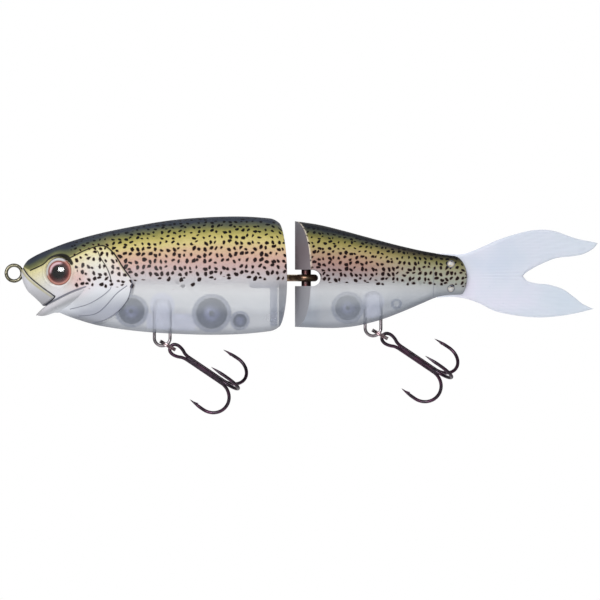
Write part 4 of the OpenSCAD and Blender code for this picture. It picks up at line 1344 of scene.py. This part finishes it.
build_hanger("front_hook_hanger", "front_body", "hanger_front")
build_hanger("rear_hook_hanger", "rear_body", "hanger_rear")
build_line_eye()
build_joint_eye()
build_hinge_pin()
for (x, z), word in zip(TAIL_PINS, ("upper", "lower")):
    build_peg(x, z, word)

# ---------------- split rings
RING_FALL = math.radians(30)  # the rings hang this far below the tail's direction
RING_WIDE, RING_TALL, RING_PITCH = 0.62, 0.52, 0.55
HANG = np.array([math.cos(RING_FALL), 0, -math.sin(RING_FALL)])
ACROSS = np.array([math.sin(RING_FALL), 0, math.cos(RING_FALL)])


def build_split_ring(node, body, name):
    """Two flat turns of wire that cross over once."""
    c, half = centre_of(node)
    mean = half[1] - 0.33
    section = rounded(-RING_WIDE / 2, RING_WIDE / 2, -RING_TALL / 2, RING_TALL / 2, 0.16, 3)
    turns = np.linspace(0, 4 * math.pi - math.radians(14), 240)
    points = []
    for t in turns:
        a = t + math.radians(110)
        radial = math.cos(a) * HANG + np.array([0, math.sin(a), 0])
        lift = RING_PITCH * (ease(t, 2 * math.pi - 0.55, 2 * math.pi + 0.55) - 0.5)
        points += [c + (mean + u) * radial + (lift + v) * ACROSS for u, v in section]
    size = len(turns), len(section)
    shape = points, grid_faces(*size, wrap=True) + end_caps(*size)
    piece(name, shape, RING_METAL, body, node, sharp=50)


build_split_ring("front_split_ring", "front_ring", "ring_front")
build_split_ring("rear_split_ring", "rear_ring", "ring_rear")

# ---------------- treble hooks
HOOK_WIRE, HOOK_LENGTH, HOOK_GAPE, POINT_LEG, EYE_HOLE = 1.07, 25.8, 9.6, 5.3, 2.1
HOOK_ANGLE, HOOK_TURN = 34.0, 79.0
EYE_LOOP_R = (EYE_HOLE + HOOK_WIRE) / 2
BEND_R = (HOOK_GAPE + HOOK_WIRE) / 2
BEND_X = HOOK_LENGTH - EYE_LOOP_R - HOOK_WIRE - BEND_R
WIRE_OFF = 0.56 * HOOK_WIRE


def hook_leg(start_x, offset):
    """Path in the hook's plane (x along the shank, s towards the point) and the wire's radius along it."""
    path = [(x, offset) for x in np.linspace(start_x, BEND_X - 0.6, 22)]
    for a in np.linspace(-0.12, math.pi, 60):
        path.append((BEND_X + BEND_R * math.sin(a), offset + BEND_R * (1 - math.cos(a))))
    end = path[-1]
    path += [(end[0] - POINT_LEG * t, end[1] - 0.32 * t * t) for t in np.linspace(0, 1, 30)[1:]]
    path = np.array(path)
    step = np.hypot(*np.diff(path, axis=0).T)
    to_end = np.concatenate([np.cumsum(step[::-1])[::-1], [0]])
    return path, HOOK_WIRE / 2 * np.clip(0.03 + 0.97 * (to_end / 3.6) ** 0.72, 0, 1)


def in_plane(points, angle):
    """From a hook's plane [x, s, across] to the treble's frame: the plane is turned about X by the angle."""
    a = math.radians(angle)
    axes = np.array([(1, 0, 0), (0, -math.sin(a), math.cos(a)), (0, math.cos(a), math.sin(a))])
    points = np.asarray(points, float)
    return points @ axes[:points.shape[1]]


def barb(angle):
    """A small cut barb on the inside of the leg."""
    x0 = BEND_X - POINT_LEG + 1.5
    inner = WIRE_OFF + 2 * BEND_R - HOOK_WIRE / 2 - 0.12
    points = [(x0 - 0.1, inner + 0.2, 0), (x0 + 1.35, inner - 0.22, 0), (x0 + 1.6, inner + 0.25, 0.24),
              (x0 + 1.6, inner + 0.25, -0.24), (x0 - 0.1, inner + 0.5, 0.2), (x0 - 0.1, inner + 0.5, -0.2)]
    faces = [(0, 1, 2), (0, 3, 1), (1, 3, 2), (0, 2, 4), (0, 5, 3), (4, 2, 3, 5), (0, 4, 5)]
    return in_plane(points, angle), faces


def double_hook():
    """One wire: point, bend, shank, round the eye, shank, bend, point. A line of braze fills the shank."""
    angles = HOOK_TURN - 120, HOOK_TURN + 120
    path, radius = hook_leg(4.6, WIRE_OFF)
    up, down = (in_plane(path, a) for a in angles)
    # half of the eye, [x, share of the shank's y, z], and the same half mirrored
    eye = [(3.3, 0.8, 0.72), (2.2, 0.35, 1.25), (1.0, 0, 1.58), (-0.1, 0, 1.6), (-1.05, 0, 1.2),
           (-1.55, 0, 0.45)]
    there = [(x, share * up[0][1], z) for x, share, z in eye]
    back = [(x, share * down[0][1], -z) for x, share, z in eye[:0:-1]] + [(3.3, 0.8 * down[0][1], -0.78)]
    eye_path = smooth_line([up[1], up[0], *there, *back, down[0], down[1]], 8)[9:-10]
    wire = np.full(len(eye_path), HOOK_WIRE / 2)
    parts = [tube(np.vstack([up[::-1], eye_path, down]), np.concatenate([radius[::-1], wire, radius]), 18)]
    parts += [barb(a) for a in angles]
    braze = [(x, 0, 0) for x in np.linspace(4.4, BEND_X - 1.0, 24)]
    swell = np.interp(np.linspace(0, 1, 24), [0, 0.15, 0.8, 1], [0.3, 0.46, 0.46, 0.3])
    return join(parts + [tube(braze, swell, 14)])


def single_hook():
    path, radius = hook_leg(5.2, WIRE_OFF + 0.02)
    radius[:6] *= np.linspace(0.72, 1, 6)
    return join([tube(in_plane(path, HOOK_TURN), radius, 18), barb(HOOK_TURN)])


def build_treble(place):
    """A treble hook hanging in its split ring."""
    c, half = centre_of(f"{place}_split_ring")
    origin = c + (half[1] - 0.325) * HANG
    for kind, (points, faces) in (("double", double_hook()), ("single", single_hook())):
        shape = turned(points, "Y", HOOK_ANGLE) + origin, faces
        piece(f"{kind}_hook_{place}", shape, HOOK_METAL, f"{place}_treble",
              f"{place}_{kind}_hook", sharp=50)


build_treble("front")
build_treble("rear")

# ---------------- soft tail
TAIL_SPLIT, TAIL_MID = 158.35, -0.9  # where the fork begins
UPPER_TIP, LOWER_TIP = 181.6, 180.3
TAIL_TOP = [(131.5, 6.2), (135.7, 6.0), (138.8, 5.85), (142.2, 6.75), (146.0, 8.35), (149.9, 10.1),
            (155.5, 12), (161.9, 13.4), (167.7, 13.2), (174.9, 10.8), (179.9, 9.75), (181.6, 9.35)]
UPPER_INNER = [(158.35, -0.9), (159.6, 0.35), (163.8, 2.7), (168.8, 4.65), (173.5, 5.2), (177.1, 5.9),
               (180.2, 7.6), (181.6, 9.3)]
LOWER_INNER = [(158.35, -0.9), (159.8, -2.45), (162.8, -3.2), (166.6, -3.6), (170.8, -5), (174.2, -7.4),
               (177, -9.6), (180.3, -11.1)]
TAIL_LOW = [(131.5, -7.6), (136, -7.4), (139.4, -7.75), (142.4, -8.5), (145.6, -9.8), (149.9, -11.9),
            (156.9, -13.3), (163.3, -13.8), (169.4, -13.4), (174.9, -12.5), (180.3, -11.15)]


def tail_lobe(inner, outer, tip):
    """Grid of [x, z] points between the middle or the fork's edge and the outer edge."""
    before = np.linspace(ROOT_FRONT, TAIL_SPLIT, 110)
    after = TAIL_SPLIT + (tip - TAIL_SPLIT) * (1 - np.cos(np.linspace(0, 1, 90)[1:] * math.pi)) / 2
    x = np.concatenate([before, after])[:, None]
    start = np.where(x <= TAIL_SPLIT, TAIL_MID, np.interp(x, *inner.T))
    even = np.linspace(0, 1, 30)[None, :]
    share = (1 - np.cos(even * math.pi)) / 2 * 0.6 + even * 0.4
    return np.stack([x + 0 * share, start + (np.interp(x, *outer.T) - start) * share], 2)


def tail_half_thickness(x, z, depth):
    """Half thickness: thin towards the tips, with rays that fan out, and a rounded edge."""
    thick = np.interp(x, [131.5, 141.0, 147, 160, 176, 182], [1.6, 1.55, 1.22, 0.95, 0.7, 0.55])
    fan = np.arctan2(z - TAIL_MID, x - 128) * 150
    thick = thick * (1 + 0.05 * np.sin(fan) * ease(x, 143, 150))
    return thick / 2 * round_in(depth, np.minimum(0.9, 0.55 * thick + 0.2))


def build_tail():
    keys = TAIL_TOP, UPPER_INNER, LOWER_INNER, TAIL_LOW
    top, upper, lower, low = (smooth_line(k, 20) for k in keys)
    outline = np.vstack([top, upper[::-1], lower, low[::-1], top[:1]])
    shapes = []
    for inner, outer, tip in ((upper, top, UPPER_TIP), (lower, low, LOWER_TIP)):
        lobe = tail_lobe(inner, outer, tip)
        flat = lobe.reshape(-1, 2)
        x, z = flat.T
        half = tail_half_thickness(x, z, np.abs(to_line(flat, outline)))
        for s in (1, -1):
            shapes.append((np.stack([x, s * half, z], 1), grid_faces(*lobe.shape[:2])))
    points, faces = join(shapes)
    obj = welded_object("soft_tail", points, faces, [0] * len(faces), [TAIL], near=4e-6, thinnest=1e-6)
    obj.data.shade_smooth()
    p = points_of(obj.data)
    edge = bump(to_line(p[:, [0, 2]], outline), 0.35) * ease(p[:, 0], 140, 144)
    set_attributes(obj.data, thin=ease(p[:, 0], 143, 175), edge=edge)
    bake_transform(obj)
    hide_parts("tail_root", "tail_fin")


build_tail()

# ---------------- stage, light, camera
scene = bpy.context.scene
scene.view_settings.view_transform = "Standard"
scene.view_settings.look = "None"
FLOOR_Z, FLOOR_R = -0.135, 0.35  # metres, like the rest of this section
AIM = (0.09, 0, -0.008)
WIDTH_SEEN, DISTANCE, SENSOR = 0.18672, 1.3, 36.0


def build_floor():
    disc = bmesh.new()
    bmesh.ops.create_circle(disc, cap_ends=True, segments=96, radius=FLOOR_R)
    mesh = bpy.data.meshes.new("floor")
    disc.to_mesh(mesh)
    disc.free()
    mesh.materials.append(floor_material(FLOOR_R))
    floor = add_object("floor", mesh)
    floor.location = (0.09, 0, FLOOR_Z)


def build_world():
    """White behind the lure for the camera, and dimmer white as light."""
    world = scene.world = bpy.data.worlds.new("studio")
    world.use_nodes = True
    tree = world.node_tree
    tree.nodes.clear()
    pick = tree.nodes.new("ShaderNodeMixShader")
    tree.links.new(tree.nodes.new("ShaderNodeLightPath").outputs["Is Camera Ray"], pick.inputs[0])
    for index, strength in ((1, 0.44), (2, 1.0)):
        white = tree.nodes.new("ShaderNodeBackground")
        white.inputs["Color"].default_value = (1, 1, 1, 1)
        white.inputs["Strength"].default_value = strength
        tree.links.new(white.outputs[0], pick.inputs[index])
    tree.links.new(pick.outputs[0], tree.nodes.new("ShaderNodeOutputWorld").inputs["Surface"])


def soft_light(name, where, target, size, power):
    data = bpy.data.lights.new(name, "AREA")
    data.shape = "RECTANGLE"
    data.size, data.size_y = size
    data.energy = power
    light = add_object(name, data)
    light.location = where
    light.rotation_euler = (Vector(target) - Vector(where)).to_track_quat("-Z", "Y").to_euler()
    return light


build_floor()
build_world()
overhead = soft_light("overhead", (0.06, -0.25, 0.75), AIM, (0.9, 0.6), 4.6)
overhead.visible_glossy = False
soft_light("front", (-0.28, -0.95, 0.22), AIM, (0.5, 0.36), 3.0)
soft_light("back", (0.2, 0.8, 0.5), AIM, (0.7, 0.5), 1.6)
# the catch light's place is chosen for its round glint in the camera-side eye
catch = soft_light("catch", (-0.26, -0.94, 0.19), (EYE_X * MM, 0, EYE_Z * MM), (0.58, 0.38), 5.4)
catch.data.shape = "ELLIPSE"
catch.visible_diffuse = False

camera_data = bpy.data.cameras.new("camera")
camera_data.sensor_width = SENSOR
camera_data.lens = SENSOR * DISTANCE / WIDTH_SEEN
camera_data.clip_start, camera_data.clip_end = 0.05, 20
camera = add_object("camera", camera_data)
camera.location = (0.08897, -DISTANCE, -0.00837)
camera.rotation_euler = (math.pi / 2, 0, 0)
scene.camera = camera
